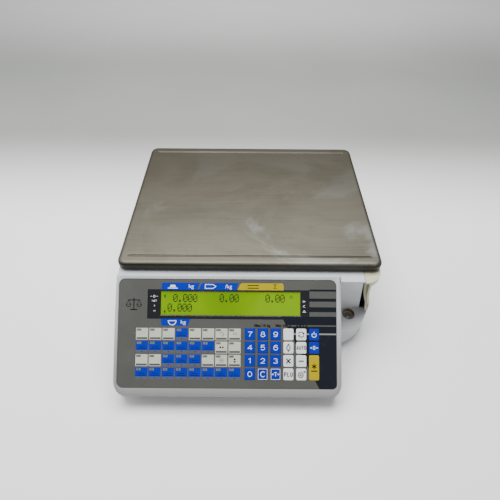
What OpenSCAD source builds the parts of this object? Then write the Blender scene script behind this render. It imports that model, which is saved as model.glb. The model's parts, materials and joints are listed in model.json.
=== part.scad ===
/* [Overall] */
// Width of the weighing platter, left to right
platter_w = 384; // [360:1:460]
// Depth of the weighing platter, front to back
platter_d = 296; // [280:1:360]
// Height of the housing roof above the counter
roof_z = 127; // [124:1:140]
// Gap between the roof and the platter's lip
lip_gap = 2.5; // [2:0.5:8]
// Depth of the platter's rolled lip
lip_h = 12.5; // [8:0.5:14]
// Thickness of the platter's sheet
sheet_t = 1.2; // [0.8:0.1:2]
// How far the housing stands out behind the platter
rear_margin = 8; // [4:1:20]

/* [Console] */
// Length of the sloping panel, top to bottom
panel_len = 152; // [146:1:170]
// Height of the panel's lower edge above the counter
panel_foot_z = 34.8; // [30:0.1:40]
// Width of the bezel's rim around the panel
rim_w = 5.3; // [4:0.1:8]
// Space between the console's right side and the body's right side
recess_w = 62; // [55:1:75]
// Thickness of the moulded overlay
overlay_t = 1.5; // [1:0.1:2.5]

/* [Keys] */
// Distance between key centres across the panel
key_pitch_x = 18; // [15.5:0.1:22]
// Distance between key centres down the panel
key_pitch_t = 18.4; // [17.5:0.1:20]
// Width of a key
key_w = 14.3; // [11:0.1:15.2]
// Length of a key down the panel
key_l = 16.2; // [13:0.1:16.8]
// Gap all round a key in its opening
key_gap = 0.15; // [0.1:0.05:0.4]
// Travel of a key
key_travel = 0.6; // [0.3:0.1:0.8]

/* [Body] */
// Height of the seam between base tray and housing
seam_z = 42; // [40:1:44]
// Wall thickness of mouldings and castings
wall = 3; // [2.4:0.1:3.6]
// Height of the tray's underside above the counter
tray_z = 8; // [7:1:10]
// Radius of the base tray's front right corner
corner_r = 60; // [40:1:62]
// Diameter of a levelling foot's pad
foot_d = 32; // [24:1:40]
// Diameter of a levelling foot's thread
thread_d = 8; // [6:0.5:10]

/* [Printer] */
// Outside diameter of the label roll
roll_d = 66; // [50:1:66]
// Width of the label roll
roll_w = 62; // [50:1:62]
// Diameter of the roll spindle
spindle_d = 24; // [18:0.5:30]
// Diameter of the platen roller
platen_d = 14; // [11:0.5:17]
// Diameter of the hinge pins of the door
pin_d = 4; // [3:0.5:5]
// Radial running clearance of pins, shafts and threads
run_gap = 0.05; // [0.02:0.01:0.09]
// Module of the drive gears
gear_m = 1; // [0.8:0.1:1]

/* [Hidden] */
$fn = 96;
body_w = platter_w - 3;
xl = -body_w / 2;
xr = body_w / 2;
panel_top_z = roof_z + 2;
slope = asin((panel_top_z - panel_foot_z) / panel_len);
console_reach = 16 + panel_len * cos(slope) + 8.3;
body_d = console_reach + platter_d + rear_margin;
yf = -body_d / 2;
yr = body_d / 2;
yp = yf + console_reach;          // platter's front edge
pcy = yp + platter_d / 2;         // platter's centre
lip_z = roof_z + lip_gap;
top_z = lip_z + lip_h;
under_z = top_z - sheet_t;        // underside of the platter's sheet
floor_z = tray_z + wall;
base_y = yp - 51;                 // front of the base tray
panel_y = yp - 16;
ox0 = xl + rim_w;                 // overlay's left and right edges
ox1 = xr - recess_w - rim_w - 0.4;
cx1 = ox1 + 7;                  // console's right side
plate_z = -3.6;                   // top of the bezel's panel plate, from the panel's face
plate_t = 3;
win_x0 = ox0 + 40.8;
win_x1 = ox1 - 38.2;
win_t0 = 14.7;
win_t1 = 56.1;
lcd_x0 = win_x0 + 13.4;
lcd_x1 = win_x1 - 12.1;
key_x0 = ox1 - 128.9 + key_w / 2; // centre of the first key column
key_t0 = 68.5 + key_l / 2;        // centre of the first key row
seam_x = xr - 25.5;               // seam between roof and door
door_gap = 0.6;
door_y0 = yp - 19;
hinge_x = xr - 5.5;
hinge_y = yr - 25;
door_y1 = hinge_y + 5.5;
pin_r = pin_d / 2;
shelf_z = seam_z + 0.5;
bay_x = xr - 143.5;               // partition of the printer bay
cas_x0 = xr - 133.5;
cas_x1 = xr - 25.5;
cas_y0 = yp + 75;
plate_y = cas_y0 + 71;            // inner face of the cassette's rear plate
cas_y1 = cas_y0 + 122;
cas_z = shelf_z + 5.5;            // underside of the cassette's base plate
cas_floor = cas_z + wall;
roll_x = xr - 93.5;
roll_z = cas_floor + 35;
n_platen = 20;
n_idler = 32;
n_pinion = 12;
n_spool = 16;
plat_x = xr - 37.5;
plat_z = cas_floor + 29;
a_pi = 191.1;                     // direction from platen to idler
a_is = -38;                       // direction from idler to spool
a_im = 200;                       // direction from idler to motor
r_platen = gear_m * n_platen / 2;
r_idler = gear_m * n_idler / 2;
r_pinion = gear_m * n_pinion / 2;
r_spool = gear_m * n_spool / 2;
idl_x = plat_x + (r_platen + r_idler) * cos(a_pi);
idl_z = plat_z + (r_platen + r_idler) * sin(a_pi);
spl_x = idl_x + (r_idler + r_spool) * cos(a_is);
spl_z = idl_z + (r_idler + r_spool) * sin(a_is);
mot_x = idl_x + (r_idler + r_pinion) * cos(a_im);
mot_z = idl_z + (r_idler + r_pinion) * sin(a_im);
rot_idler = a_pi - 180 + 180 / n_idler;
shaft_r = 3;
gear_y = plate_y + wall + 2.5;
gear_w = 6;
piv_x = xr - 54.5;
piv_z = cas_floor + 57;
lev_x = xr - 44.5;
lev_z = cas_floor + 51;
cell_w = 40;
cell_l = 150;
cell_h = 30;
cell_z = 46;
level_x = xr - 33;
level_y = yp - 17;
level_r = 9.4;
level_z = seam_z - 14;            // foot of the level in its socket
foot_xy = [[xl + 40.5, yp - 19], [xr - 68.5, yp - 19], [xl + 40.5, yr - 35], [xr - 40.5, yr - 35]];
screw_xy = [[xl + 12, yp + 20], [xl + 12, yr - 60], [-60, yr - 12], [60, yr - 12], [60, base_y + 14],
    [-60, base_y + 14]];
cush = [[-130, -95], [130, -95], [-130, 95], [130, 95]];
inlet_x = xl + 60;
inlet_z = 72;
pan_x0 = xl + 24;
pan_x1 = xl + 170;
pan_z0 = 50;
pan_z1 = 94;
white = [0.77, 0.78, 0.79];
cream = [0.76, 0.77, 0.68];
steel = [0.52, 0.51, 0.47];
alum = [0.72, 0.73, 0.75];
dark = [0.14, 0.15, 0.17];
blue = [0.05, 0.22, 0.78];
pale = [0.90, 0.91, 0.90];

function part_of(x) = x - floor(x);
// phase of a wheel driven by the idler in direction a, so that its teeth stand in the idler's gaps
function phase(a, n) = a + 180 + part_of((a - rot_idler) * n_idler / 360) * 360 / n + 180 / n;

// rectangle with its own radius at each corner: front left, front right, back right, back left
module rect4(x0, x1, y0, y1, r) {
  polygon([[x0 + r[0], y0], [x1 - r[1], y0], [x1, y0 + r[1]], [x1, y1 - r[2]], [x1 - r[2], y1],
    [x0 + r[3], y1], [x0, y1 - r[3]], [x0, y0 + r[0]]]);
  translate([x0 + r[0], y0 + r[0]]) circle(r[0]);
  translate([x1 - r[1], y0 + r[1]]) circle(r[1]);
  translate([x1 - r[2], y1 - r[2]]) circle(r[2]);
  translate([x0 + r[3], y1 - r[3]]) circle(r[3]);
}

module box(x0, x1, y0, y1, z0, z1) { translate([x0, y0, z0]) cube([x1 - x0, y1 - y0, z1 - z0]); }
module rod(x, y, z0, z1, r) { translate([x, y, z0]) cylinder(h = z1 - z0, r = r); }
// bar along Y
module bar(x, z, y0, y1, r) { translate([x, y1, z]) rotate([90, 0, 0]) cylinder(h = y1 - y0, r = r); }
// an XZ outline drawn out along Y
module along_y(y0, y1) { translate([0, y1, 0]) rotate([90, 0, 0]) linear_extrude(y1 - y0) children(); }
// a YZ outline drawn out along X
module along_x(x0, x1) {
  translate([x0, 0, 0]) rotate([90, 0, 90]) linear_extrude(x1 - x0) children();
}
// X stays X, Y runs up the slope from the panel's top edge, Z stands off its face
module on_panel() { translate([0, panel_y, panel_top_z]) rotate([slope, 0, 0]) children(); }
module wheel(n, rot) {
  step = 360 / n;
  rp = gear_m * n / 2;
  polygon([for (k = [0:n - 1]) for (c = [[-0.28, -1.2], [-0.11, 0.9], [0.11, 0.9], [0.28, -1.2]])
    let (a = rot + (k + c[0]) * step, r = rp + c[1] * gear_m) [r * cos(a), r * sin(a)]]);
}

module base_outline(inset) {
  rect4(xl + inset, xr - inset, base_y + inset, yr - inset,
    [12 - inset, corner_r - inset, 12 - inset, 12 - inset]);
}

module base_tray() {
  color(white) difference() {
    union() {
      difference() {
        translate([0, 0, tray_z]) linear_extrude(seam_z - tray_z) base_outline(0);
        translate([0, 0, floor_z]) linear_extrude(seam_z) base_outline(wall);
      }
      translate([0, 0, seam_z - wall]) linear_extrude(wall) intersection() {
        base_outline(1);
        translate([cx1 - 6, base_y]) square([xr - cx1 + 6, yp - 3 - base_y]);
      }
      box(-24, 24, pcy - 77, pcy - 35, floor_z - 1, cell_z);
      for (p = foot_xy) rod(p[0], p[1], floor_z - 1, 28, thread_d / 2 + 5);
      rod(level_x, level_y, floor_z - 1, seam_z, 12.5);
      rod(hinge_x, hinge_y, floor_z - 1, seam_z, 5);
      for (p = screw_xy) rod(p[0], p[1], floor_z - 1, 34, 5);
      rod(0, pcy + 60, floor_z - 1, 30, 8);
    }
    for (p = foot_xy) rod(p[0], p[1], tray_z - 1, 30, thread_d / 2 + run_gap);
    rod(level_x, level_y, level_z, seam_z + 1, level_r + 0.1);
    rod(hinge_x, hinge_y, seam_z - 12, seam_z + 1, pin_r);
    for (p = screw_xy) {
      rod(p[0], p[1], tray_z - 1, 10.2, 3.6);
      rod(p[0], p[1], 10.1, 35, 1.7);
    }
    for (s = [-10, 10]) {
      rod(s, pcy - 60, tray_z - 1, 14, 6);
      rod(s, pcy - 60, 13, cell_z + 1, 3);
    }
    rod(0, pcy + 60, 15, 31, 3);
  }
}

module upper_housing() {
  color(white) difference() {
    union() {
      // walls and roof, left of the door
      difference() {
        translate([0, 0, seam_z]) linear_extrude(roof_z - seam_z)
          rect4(xl, seam_x, yp - 7, yr, [2, 2, 2, 12]);
        translate([0, 0, seam_z - 1]) linear_extrude(roof_z - seam_z - wall + 1)
          rect4(xl + wall, seam_x + 30, yp - 4, yr - wall, [1, 1, 1, 9]);
      }
      // roof and slanted wall beside the console
      box(cx1 + 0.5, seam_x, yp - 17.2, yp, roof_z - wall, roof_z);
      box(cx1 + 0.5, cx1 + 0.5 + wall, yp - 15.4, yp - 4, seam_z, roof_z - 1);
      intersection() {
        along_x(cx1 + 0.5, xr)
          polygon([[yp - 17.2, roof_z], [yp - 14.2, roof_z], [yp - 1, seam_z], [yp - 4, seam_z]]);
        along_y(yp - 30, yp + 10)
          polygon([[cx1, seam_z], [xr - 14.5, seam_z], [xr - 28.5, roof_z], [cx1, roof_z]]);
      }
      // rear right pillar, which carries the upper hinge
      translate([0, 0, seam_z]) linear_extrude(roof_z - seam_z) difference() {
        intersection() {
          rect4(seam_x - 2, xr, yr - 40, yr, [1, 1, 12, 1]);
          translate([seam_x - 3, door_y1 + 1]) square([xr - seam_x + 4, yr - door_y1]);
        }
        rect4(seam_x - 30, xr - wall, door_y1 + 1 + wall, yr - wall, [1, 1, 6, 1]);
      }
      box(seam_x - 2, xr - 4, door_y1 + 2, yr - 5, roof_z - wall, roof_z);
      box(hinge_x - 4, hinge_x + 4, hinge_y, door_y1 + 3, roof_z - 16, roof_z - 11);
      rod(hinge_x, hinge_y, roof_z - 16, roof_z - 11, 4);
      // partition of the printer bay
      box(bay_x, bay_x + wall, yp + 1, yr - 2, seam_z + 3, roof_z - 1);
      // splash collar around the neck
      rod(0, pcy, roof_z - 1, roof_z + 1.4, 36);
      for (p = screw_xy) if (p[1] > base_y + 20) rod(p[0], p[1], 34, roof_z - 1, 4.5);
    }
    rod(0, pcy, roof_z - 5, roof_z + 2, 32);
    // opening for the console's cables
    box(-60, 40, yp - 10, yp, 60, 90);
    box(pan_x0, pan_x1, yr - 10, yr + 1, pan_z0, pan_z1);
    rod(hinge_x, hinge_y, roof_z - 17, roof_z - 10, pin_r);
    for (p = screw_xy) if (p[1] > base_y + 20) rod(p[0], p[1], 33, 46, 1.7);
  }
}

module console_plan(inset) {
  rect4(xl + inset, cx1 - inset, yf + inset, yp - 7, [17 - inset, 15 - inset, 1, 1]);
}

function pan(y, z) =
  [panel_y + y * cos(slope) - z * sin(slope), panel_top_z + y * sin(slope) + z * cos(slope)];

module console_bezel() {
  color(white) difference() {
    union() {
      intersection() {
        along_x(xl, cx1) polygon([[yp - 7.4, seam_z], [yp - 7.4, roof_z + 3.4], pan(5, 0.6), pan(-159.6, 0.6),
          [yf + 0.2, 28], [yf, 26.5], [yf + 3, 18.5], [yf + 7.5, 12], [base_y - 0.6, 12],
          [base_y - 0.6, seam_z]]);
        translate([0, 0, 5]) linear_extrude(150) console_plan(0);
      }
    }
    intersection() {
      along_x(xl + wall, cx1 - wall) polygon([[yp, seam_z - 1], [yp, roof_z + 0.2], [yp - 9.6, roof_z + 0.2],
        pan(-1, plate_z - plate_t), pan(-155, plate_z - plate_t), [yf + 3.4, 25.4], [yf + 6.2, 18],
        [yf + 10.5, 11], [base_y, 11], [base_y, seam_z - 1]]);
      translate([0, 0, 0]) linear_extrude(150) rect4(xl + wall, cx1 - wall, yf + 3, yp + 5, [14, 12, 1, 1]);
    }
    on_panel() {
      // recess for the overlay
      translate([0, 0, plate_z]) linear_extrude(6)
        rect4(ox0 - 0.3, ox1 + 0.3, -panel_len - 0.3, 0.3, [9, 6, 9, 9]);
      // opening for the display
      box(lcd_x0 - 4, lcd_x1 + 4, -win_t1 + 1.5, -win_t0 - 1.5, plate_z - 5, 1);
      // opening for the membrane's tail
      box(-80, -40, -100, -94, plate_z - 5, 0);
    }
  }
}

module console_floor() {
  color(white) {
    difference() {
      translate([0, 0, 12]) linear_extrude(wall)
        rect4(xl + wall + 0.1, cx1 - wall - 0.1, yf + 10.6, base_y - 0.1, [13, 11, 1, 1]);
      for (x = [xl + 60, 0, cx1 - 60]) for (k = [-1, 0, 1])
        box(x - 20, x + 20, yf + 40 + 12 * k, yf + 44 + 12 * k, 11, 16);
    }
    box(xl + wall + 5, cx1 - wall - 5, base_y - 5, base_y - 0.1, 12, 30);
  }
}

module key_holes(grow) {
  for (k = [0:22]) translate([key_at(k)[0], key_at(k)[1]]) square([key_w + 2 * grow, key_at(k)[2] + 2 * grow],
    center = true);
}

// centre and length of key k on the panel: rows of four and five, right column last
function key_at(k) =
  k < 20 ? [key_x0 + (k % 5) * key_pitch_x, -(key_t0 + floor(k / 5) * key_pitch_t), key_l] :
  k == 22 ? [key_x0 + 5 * key_pitch_x, -(key_t0 + 2.5 * key_pitch_t), key_l + key_pitch_t] :
  [key_x0 + 5 * key_pitch_x, -(key_t0 + (k - 20) * key_pitch_t), key_l];

module keypad_overlay() {
  color([0.42, 0.42, 0.41]) on_panel() {
    difference() {
      translate([0, 0, -overlay_t]) linear_extrude(overlay_t) difference() {
        rect4(ox0, ox1, -panel_len, 0, [9, 6, 9, 9]);
        translate([win_x0, -win_t1]) square([win_x1 - win_x0, win_t1 - win_t0]);
        key_holes(key_gap);
      }
    }
    // spacer that holds the overlay clear of the membrane
    translate([0, 0, -2.6]) linear_extrude(2.6 - overlay_t) difference() {
      rect4(ox0, ox1, -panel_len, 0, [9, 6, 9, 9]);
      translate([ox0 + 2.5, -panel_len + 2.5]) square([ox1 - ox0 - 5, panel_len - win_t1 - 4]);
      translate([win_x0, -win_t1]) square([win_x1 - win_x0, win_t1 - win_t0]);
    }
    translate([0, 0, plate_z]) linear_extrude(-2.6 - plate_z) difference() {
      rect4(ox0, ox1, -panel_len, 0, [9, 6, 9, 9]);
      translate([ox0 + 2.5, -panel_len + 2.5]) square([ox1 - ox0 - 5, panel_len - 5]);
    }
  }
}

module display_window() {
  color([0.10, 0.11, 0.12]) on_panel()
    box(win_x0 + 0.1, win_x1 - 0.1, -win_t1 + 0.1, -win_t0 - 0.1, plate_z, 0);
}

module operator_lcd() {
  color([0.52, 0.62, 0.05]) on_panel() {
    box(lcd_x0 - 2, lcd_x1 + 2, -win_t1 + 2.4, -win_t0 - 2.4, plate_z - 5, plate_z - 0.6);
    box(lcd_x0 - 8, lcd_x1 + 8, -win_t1 - 2, -win_t0 - 0.4, plate_z - 7, plate_z - plate_t);
  }
}

module keypad_circuit() {
  color([0.30, 0.30, 0.28]) on_panel() {
    box(ox0 + 3, ox1 - 3, -panel_len + 3, -win_t1 - 2, plate_z, plate_z + 1);
    box(-78, -42, -99, -95, plate_z - 9, plate_z + 0.5);
  }
}

module main_board() {
  color([0.10, 0.36, 0.20]) {
    box(xl + 12, xl + 118, yp + 30, yp + 150, 18, 19.6);
    box(xl + 30, xl + 60, yp + 60, yp + 90, 19.6, 23);
    box(xl + 80, xl + 108, yp + 100, yp + 140, 19.6, 31);
    box(xl + 20, xl + 70, yp + 32, yp + 40, 19.6, 28);
    for (x = [xl + 18, xl + 112]) for (y = [yp + 36, yp + 144]) rod(x, y, floor_z, 18, 3);
  }
}

module power_supply() {
  color(alum) difference() {
    box(xl + 22, xl + 126, yr - 138, yr - 48, floor_z, 48);
    for (k = [0:5]) box(xl + 34 + 15 * k, xl + 40 + 15 * k, yr - 128, yr - 58, 44, 49);
    box(xl + 25, xl + 123, yr - 135, yr - 51, floor_z + 3, 45);
  }
}

module load_cell() {
  color(alum) difference() {
    box(-cell_w / 2, cell_w / 2, pcy - cell_l / 2, pcy + cell_l / 2, cell_z, cell_z + cell_h);
    for (s = [-1, 1]) for (z = [-4, 4])
      translate([-cell_w, pcy + 15 * s, cell_z + cell_h / 2 + z]) rotate([0, 90, 0])
        cylinder(h = 2 * cell_w, r = 7);
    box(-cell_w, cell_w, pcy - 15, pcy + 15, cell_z + 10, cell_z + 20);
    for (s = [-10, 10]) {
      rod(s, pcy - 60, cell_z - 1, cell_z + 16, 3);
      rod(s, pcy + 60, cell_z + cell_h - 16, cell_z + cell_h + 1, 3);
    }
  }
}

module spider_bolts() {
  color(steel) for (s = [-10, 10]) {
    rod(s, pcy + 60, cell_z + cell_h - 12, cell_z + cell_h + 9.5, 3);
    rod(s, pcy + 60, cell_z + cell_h + 9, cell_z + cell_h + 15, 5);
  }
}

module platter_support() {
  foot = cell_z + cell_h;
  arm_z = roof_z + 2.6;
  arm_h = under_z - 3 - arm_z;
  color(alum) difference() {
    union() {
      translate([0, pcy, arm_z]) linear_extrude(arm_h) {
        circle(40);
        for (a = [-1, 1]) rotate(a * atan2(95, 130)) translate([-157, -11]) square([314, 22]);
        for (c = cush) translate(c) circle(15);
      }
      box(-18, 18, pcy + 46, pcy + 74, foot, foot + 4);
      box(-25, 25, pcy - 30, pcy + 76, foot + 3, foot + 9);
      rod(0, pcy, foot + 8, arm_z + 4, 23.5);
    }
    for (s = [-10, 10]) rod(s, pcy + 60, foot - 1, foot + 10, 3);
    rod(0, pcy, foot + 12, under_z, 19);
    for (c = cush) rod(c[0], pcy + c[1], under_z - 5, under_z, 5);
  }
}

module platter_cushions() {
  color(dark) for (c = cush) {
    rod(c[0], pcy + c[1], under_z - 3, under_z, 11);
    rod(c[0], pcy + c[1], under_z - 5, under_z - 2.5, 5);
  }
}

module platter() {
  hw = platter_w / 2;
  color(steel) difference() {
    union() {
      difference() {
        translate([0, 0, lip_z]) linear_extrude(lip_h)
          rect4(-hw, hw, yp, yp + platter_d, [8, 8, 8, 8]);
        translate([0, 0, lip_z - 1]) linear_extrude(lip_h - sheet_t + 1)
          rect4(-hw + sheet_t, hw - sheet_t, yp + sheet_t, yp + platter_d - sheet_t, [6.8, 6.8, 6.8, 6.8]);
      }
      for (y = [yp + 17, yp + platter_d - 17])
        box(-hw + 13.5, hw - 13.5, y - 3.2, y + 3.2, under_z - sheet_t, under_z + 0.5);
      for (c = cush) difference() {
        rod(c[0], pcy + c[1], under_z - 2, under_z + 0.5, 14);
        rod(c[0], pcy + c[1], under_z - 3, under_z + 0.1, 11.4);
      }
    }
    for (y = [yp + 17, yp + platter_d - 17]) {
      box(-hw + 16, hw - 16, y - 2, y + 2, top_z - sheet_t, top_z + 1);
      for (s = [-1, 1]) rod(s * (hw - 16), y, top_z - sheet_t, top_z + 1, 2);
    }
  }
}

module foot(p) {
  color(dark) {
    rod(p[0], p[1], 0, 3, foot_d / 2);
    translate([p[0], p[1], 3]) cylinder(h = 2, r1 = foot_d / 2, r2 = foot_d / 2 - 4);
    rod(p[0], p[1], 5, 27, thread_d / 2);
  }
}

module foot_front_left() { foot(foot_xy[0]); }
module foot_front_right() { foot(foot_xy[1]); }
module foot_rear_left() { foot(foot_xy[2]); }
module foot_rear_right() { foot(foot_xy[3]); }

module foot_lock_nuts() {
  color(steel) for (p = foot_xy) difference() {
    translate([p[0], p[1], 5.4]) cylinder(h = tray_z - 5.4, r = thread_d / 2 + 3.4, $fn = 6);
    rod(p[0], p[1], 5, tray_z + 1, thread_d / 2 + run_gap);
  }
}

module spirit_level() {
  color([0.80, 0.78, 0.62]) {
    difference() {
      rod(level_x, level_y, level_z, level_z + 9, level_r);
      rod(level_x, level_y, level_z + 3, level_z + 10, 7.2);
    }
    rod(level_x, level_y, level_z + 2.5, level_z + 8, 6.4);
  }
}

module printer_door() {
  w = wall;
  color(cream) difference() {
    union() {
      intersection() {
        union() {
          along_y(door_y0, door_y1) polygon([[xr, roof_z], [xr, roof_z - 9], [xr - 16, roof_z - 10],
            [xr - 15, roof_z - 22], [xr - 13, roof_z - 35], [xr - 9.5, roof_z - 48], [xr - 4.5, roof_z - 60],
            [xr - 1.5, roof_z - 72], [xr, seam_z + door_gap], [xr - w, seam_z + door_gap],
            [xr - w - 1.5, roof_z - 73], [xr - w - 4.5, roof_z - 61.4], [xr - w - 9.5, roof_z - 49],
            [xr - w - 13, roof_z - 35.6], [xr - w - 15, roof_z - 22.2], [xr - w - 16, roof_z - 7],
            [xr - w - 16.4, roof_z - w], [seam_x + 0.6, roof_z - w], [seam_x + 0.6, roof_z]]);
          // front edge turned in, behind the finger gap
          along_y(door_y0 + 8, door_y0 + 8 + w) polygon([
            [xr - 1, seam_z + door_gap + 1], [xr - 2, roof_z - 72], [xr - 5, roof_z - 61],
            [xr - 10, roof_z - 48.5], [xr - 13.5, roof_z - 35], [xr - 15.5, roof_z - 22],
            [xr - 16.5, roof_z - 9], [xr - 16.5, roof_z - 1], [seam_x + 2.5, roof_z - 1],
            [seam_x + 2.5, roof_z - 8], [seam_x + 3.5, roof_z - 22], [seam_x + 6, roof_z - 35],
            [seam_x + 10, roof_z - 48.5], [seam_x + 14.5, roof_z - 61],
            [seam_x + 18.5, seam_z + door_gap + 1]]);
        }
        linear_extrude(200) rect4(seam_x - 10, xr, door_y0, door_y1, [1, 18, 5.5, 1]);
      }
      // lower hinge boss
      rod(hinge_x, hinge_y, seam_z + door_gap, seam_z + 14, 5.3);
      box(hinge_x, hinge_x + 4.6, hinge_y - 8, hinge_y, seam_z + door_gap, seam_z + 14);
    }
    // bores for the two pins
    rod(hinge_x, hinge_y, seam_z, seam_z + 15, pin_r + run_gap);
    rod(hinge_x, hinge_y, roof_z - 11, roof_z - 3, pin_r + run_gap);
    // rounder front corner of the door's cap
    translate([0, 0, roof_z - 10.2]) linear_extrude(11) difference() {
      translate([xr - 24, door_y0 - 1]) square(25);
      translate([xr - 24, door_y0 + 24]) circle(24);
    }
    // label outlet
    box(xr - 30, xr + 5, cas_y0 + 4, cas_y0 + 70, plat_z + platen_d / 2 - 5, plat_z + platen_d / 2 + 4);
  }
}

module door_hinge_pins() {
  color(steel) {
    rod(hinge_x, hinge_y, seam_z - 12, seam_z + 13, pin_r);
    rod(hinge_x, hinge_y, roof_z - 16, roof_z - 4, pin_r);
  }
}

module cassette_frame() {
  color([0.62, 0.63, 0.65]) difference() {
    union() {
      box(cas_x0, cas_x1, cas_y0, cas_y1, cas_z, cas_floor);
      // full rear side plate, and a short front one so that the roll comes off its spindle
      along_y(plate_y, plate_y + wall) polygon([[cas_x0, cas_z], [cas_x1, cas_z], [cas_x1, cas_floor + 48],
        [cas_x1 - 10, cas_floor + 67], [cas_x0 + 12, cas_floor + 67], [cas_x0, cas_floor + 52]]);
      along_y(cas_y0, cas_y0 + wall) polygon([[cas_x1 - 34, cas_z], [cas_x1, cas_z], [cas_x1, cas_floor + 48],
        [cas_x1 - 10, cas_floor + 64], [cas_x1 - 34, cas_floor + 64]]);
      // motor plate and its foot
      along_y(plate_y + 17, plate_y + 19.5) polygon([[mot_x - 22, cas_z], [mot_x + 22, cas_z],
        [mot_x + 22, mot_z + 20], [mot_x - 22, mot_z + 20]]);
      // peel bar
      box(cas_x1 - 3.5, cas_x1, cas_y0 + 1, plate_y + 1, plat_z - 8, plat_z + platen_d / 2 - 1.5);
      // tie bar behind the head
      bar(cas_x1 - 31, cas_floor + 44, cas_y0 + 1, plate_y + 1, 2.5);
      // runners
      for (y = [cas_y0 + 12, cas_y0 + 104]) box(cas_x0, cas_x1, y, y + 6, shelf_z + 0.5, cas_z + 1);
      // pull tab
      box(cas_x1 - 1, cas_x1 + 4, cas_y0 + 84, cas_y0 + 112, cas_z, cas_z + 2.5);
      box(cas_x1 + 2, cas_x1 + 4, cas_y0 + 84, cas_y0 + 112, cas_z, cas_z + 12);
      // idler stud
      bar(idl_x, idl_z, plate_y + 1, gear_y + gear_w + 2, shaft_r);
    }
    bar(plat_x, plat_z, cas_y0 - 1, plate_y + wall + 1, shaft_r + run_gap);
    bar(spl_x, spl_z, cas_y0 - 1, plate_y + wall + 1, shaft_r + run_gap);
    bar(piv_x, piv_z, cas_y0 - 1, plate_y + wall + 1, 2 + run_gap);
    bar(lev_x, lev_z, cas_y0 - 1, cas_y0 + wall + 1, 2.5 + run_gap);
    bar(roll_x, roll_z, plate_y - 1, plate_y + wall + 1, 5);
    bar(mot_x, mot_z, plate_y + 16, plate_y + 20, 5);
  }
}

module cassette_rails() {
  color([0.62, 0.63, 0.65]) {
    box(bay_x + 5, xr - 7.5, cas_y0 - 4, cas_y1 + 2, shelf_z - 1.5, shelf_z);
    box(bay_x + 5, bay_x + 6.5, cas_y0 - 4, cas_y1 + 2, floor_z, shelf_z - 1);
    box(xr - 9, xr - 7.5, cas_y0 - 4, cas_y1 + 2, floor_z, shelf_z - 1);
    for (y = [cas_y0 + 12, cas_y0 + 104]) {
      box(bay_x + 8, xr - 20, y - 3, y - 0.3, shelf_z - 0.5, shelf_z + 4.5);
      box(bay_x + 8, xr - 20, y + 6.3, y + 9, shelf_z - 0.5, shelf_z + 4.5);
    }
  }
}

module platen_roller() {
  color(dark) {
    bar(plat_x, plat_z, cas_y0 + wall + 1, plate_y - 1, platen_d / 2);
    bar(plat_x, plat_z, cas_y0 - 3, gear_y + gear_w + 1, shaft_r);
    along_y(gear_y, gear_y + gear_w) translate([plat_x, plat_z]) wheel(n_platen, a_pi);
  }
}

module drive_motor() {
  color([0.30, 0.31, 0.33]) {
    bar(mot_x, mot_z, plate_y + 19.5, plate_y + 46, 16);
    bar(mot_x, mot_z, plate_y + 17, plate_y + 20, 4.9);
    box(mot_x - 6, mot_x + 6, plate_y + 30, plate_y + 44, mot_z + 14, mot_z + 19);
  }
}

module motor_pinion() {
  color([0.80, 0.66, 0.32]) difference() {
    union() {
      along_y(gear_y, gear_y + gear_w) translate([mot_x, mot_z]) wheel(n_pinion, phase(a_im, n_pinion));
      bar(mot_x, mot_z, gear_y + gear_w - 0.5, plate_y + 16.8, 1.5);
    }
  }
}

module idler_gear() {
  color(pale) along_y(gear_y, gear_y + gear_w) translate([idl_x, idl_z]) difference() {
    wheel(n_idler, rot_idler);
    circle(shaft_r + run_gap);
  }
}

module label_roll() {
  color([0.93, 0.93, 0.91]) difference() {
    bar(roll_x, roll_z, plate_y - 3 - roll_w, plate_y - 3, roll_d / 2);
    bar(roll_x, roll_z, cas_y0 - 2, plate_y, spindle_d / 2 + run_gap);
  }
}

module roll_spindle() {
  color(dark) {
    bar(roll_x, roll_z, plate_y - 4 - roll_w, plate_y, spindle_d / 2);
    bar(roll_x, roll_z, plate_y - 1.5, plate_y, spindle_d / 2 + 5);
    bar(roll_x, roll_z, plate_y - 0.5, plate_y + wall, 5);
  }
}

module rewind_spool() {
  color([0.85, 0.80, 0.62]) {
    bar(spl_x, spl_z, cas_y0 + wall + 1, plate_y - 1, 6);
    bar(spl_x, spl_z, cas_y0 + wall + 1, cas_y0 + wall + 3, 8.4);
    bar(spl_x, spl_z, plate_y - 3, plate_y - 1, 8.4);
    bar(spl_x, spl_z, cas_y0, gear_y + gear_w + 1, shaft_r);
    along_y(gear_y, gear_y + gear_w) translate([spl_x, spl_z]) wheel(n_spool, phase(a_is, n_spool));
  }
}

module thermal_head() {
  hz = plat_z + platen_d / 2 + 0.3;
  color([0.55, 0.42, 0.24]) {
    box(plat_x - 8, plat_x + 8, cas_y0 + 6, plate_y - 3, hz, hz + 9);
    for (y = [cas_y0 + 6, plate_y - 7]) along_y(y, y + 4)
      polygon([[piv_x - 4, piv_z - 4], [plat_x - 8, hz + 1], [plat_x + 4, hz + 1], [plat_x + 4, hz + 10],
        [piv_x + 5, piv_z + 4], [piv_x - 3, piv_z + 4]]);
    bar(piv_x, piv_z, cas_y0 + 0.2, plate_y + wall - 0.2, 2);
  }
}

module head_lever() {
  color(blue) {
    bar(lev_x, lev_z, cas_y0 - 7, cas_y0 + wall + 1.5, 2.5);
    bar(lev_x, lev_z, cas_y0 - 6, cas_y0 - 0.3, 5);
    along_y(cas_y0 - 6, cas_y0 - 1.5)
      polygon([[lev_x - 4, lev_z], [lev_x + 4, lev_z], [lev_x + 3, lev_z + 16], [lev_x - 3, lev_z + 16]]);
  }
}

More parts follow.
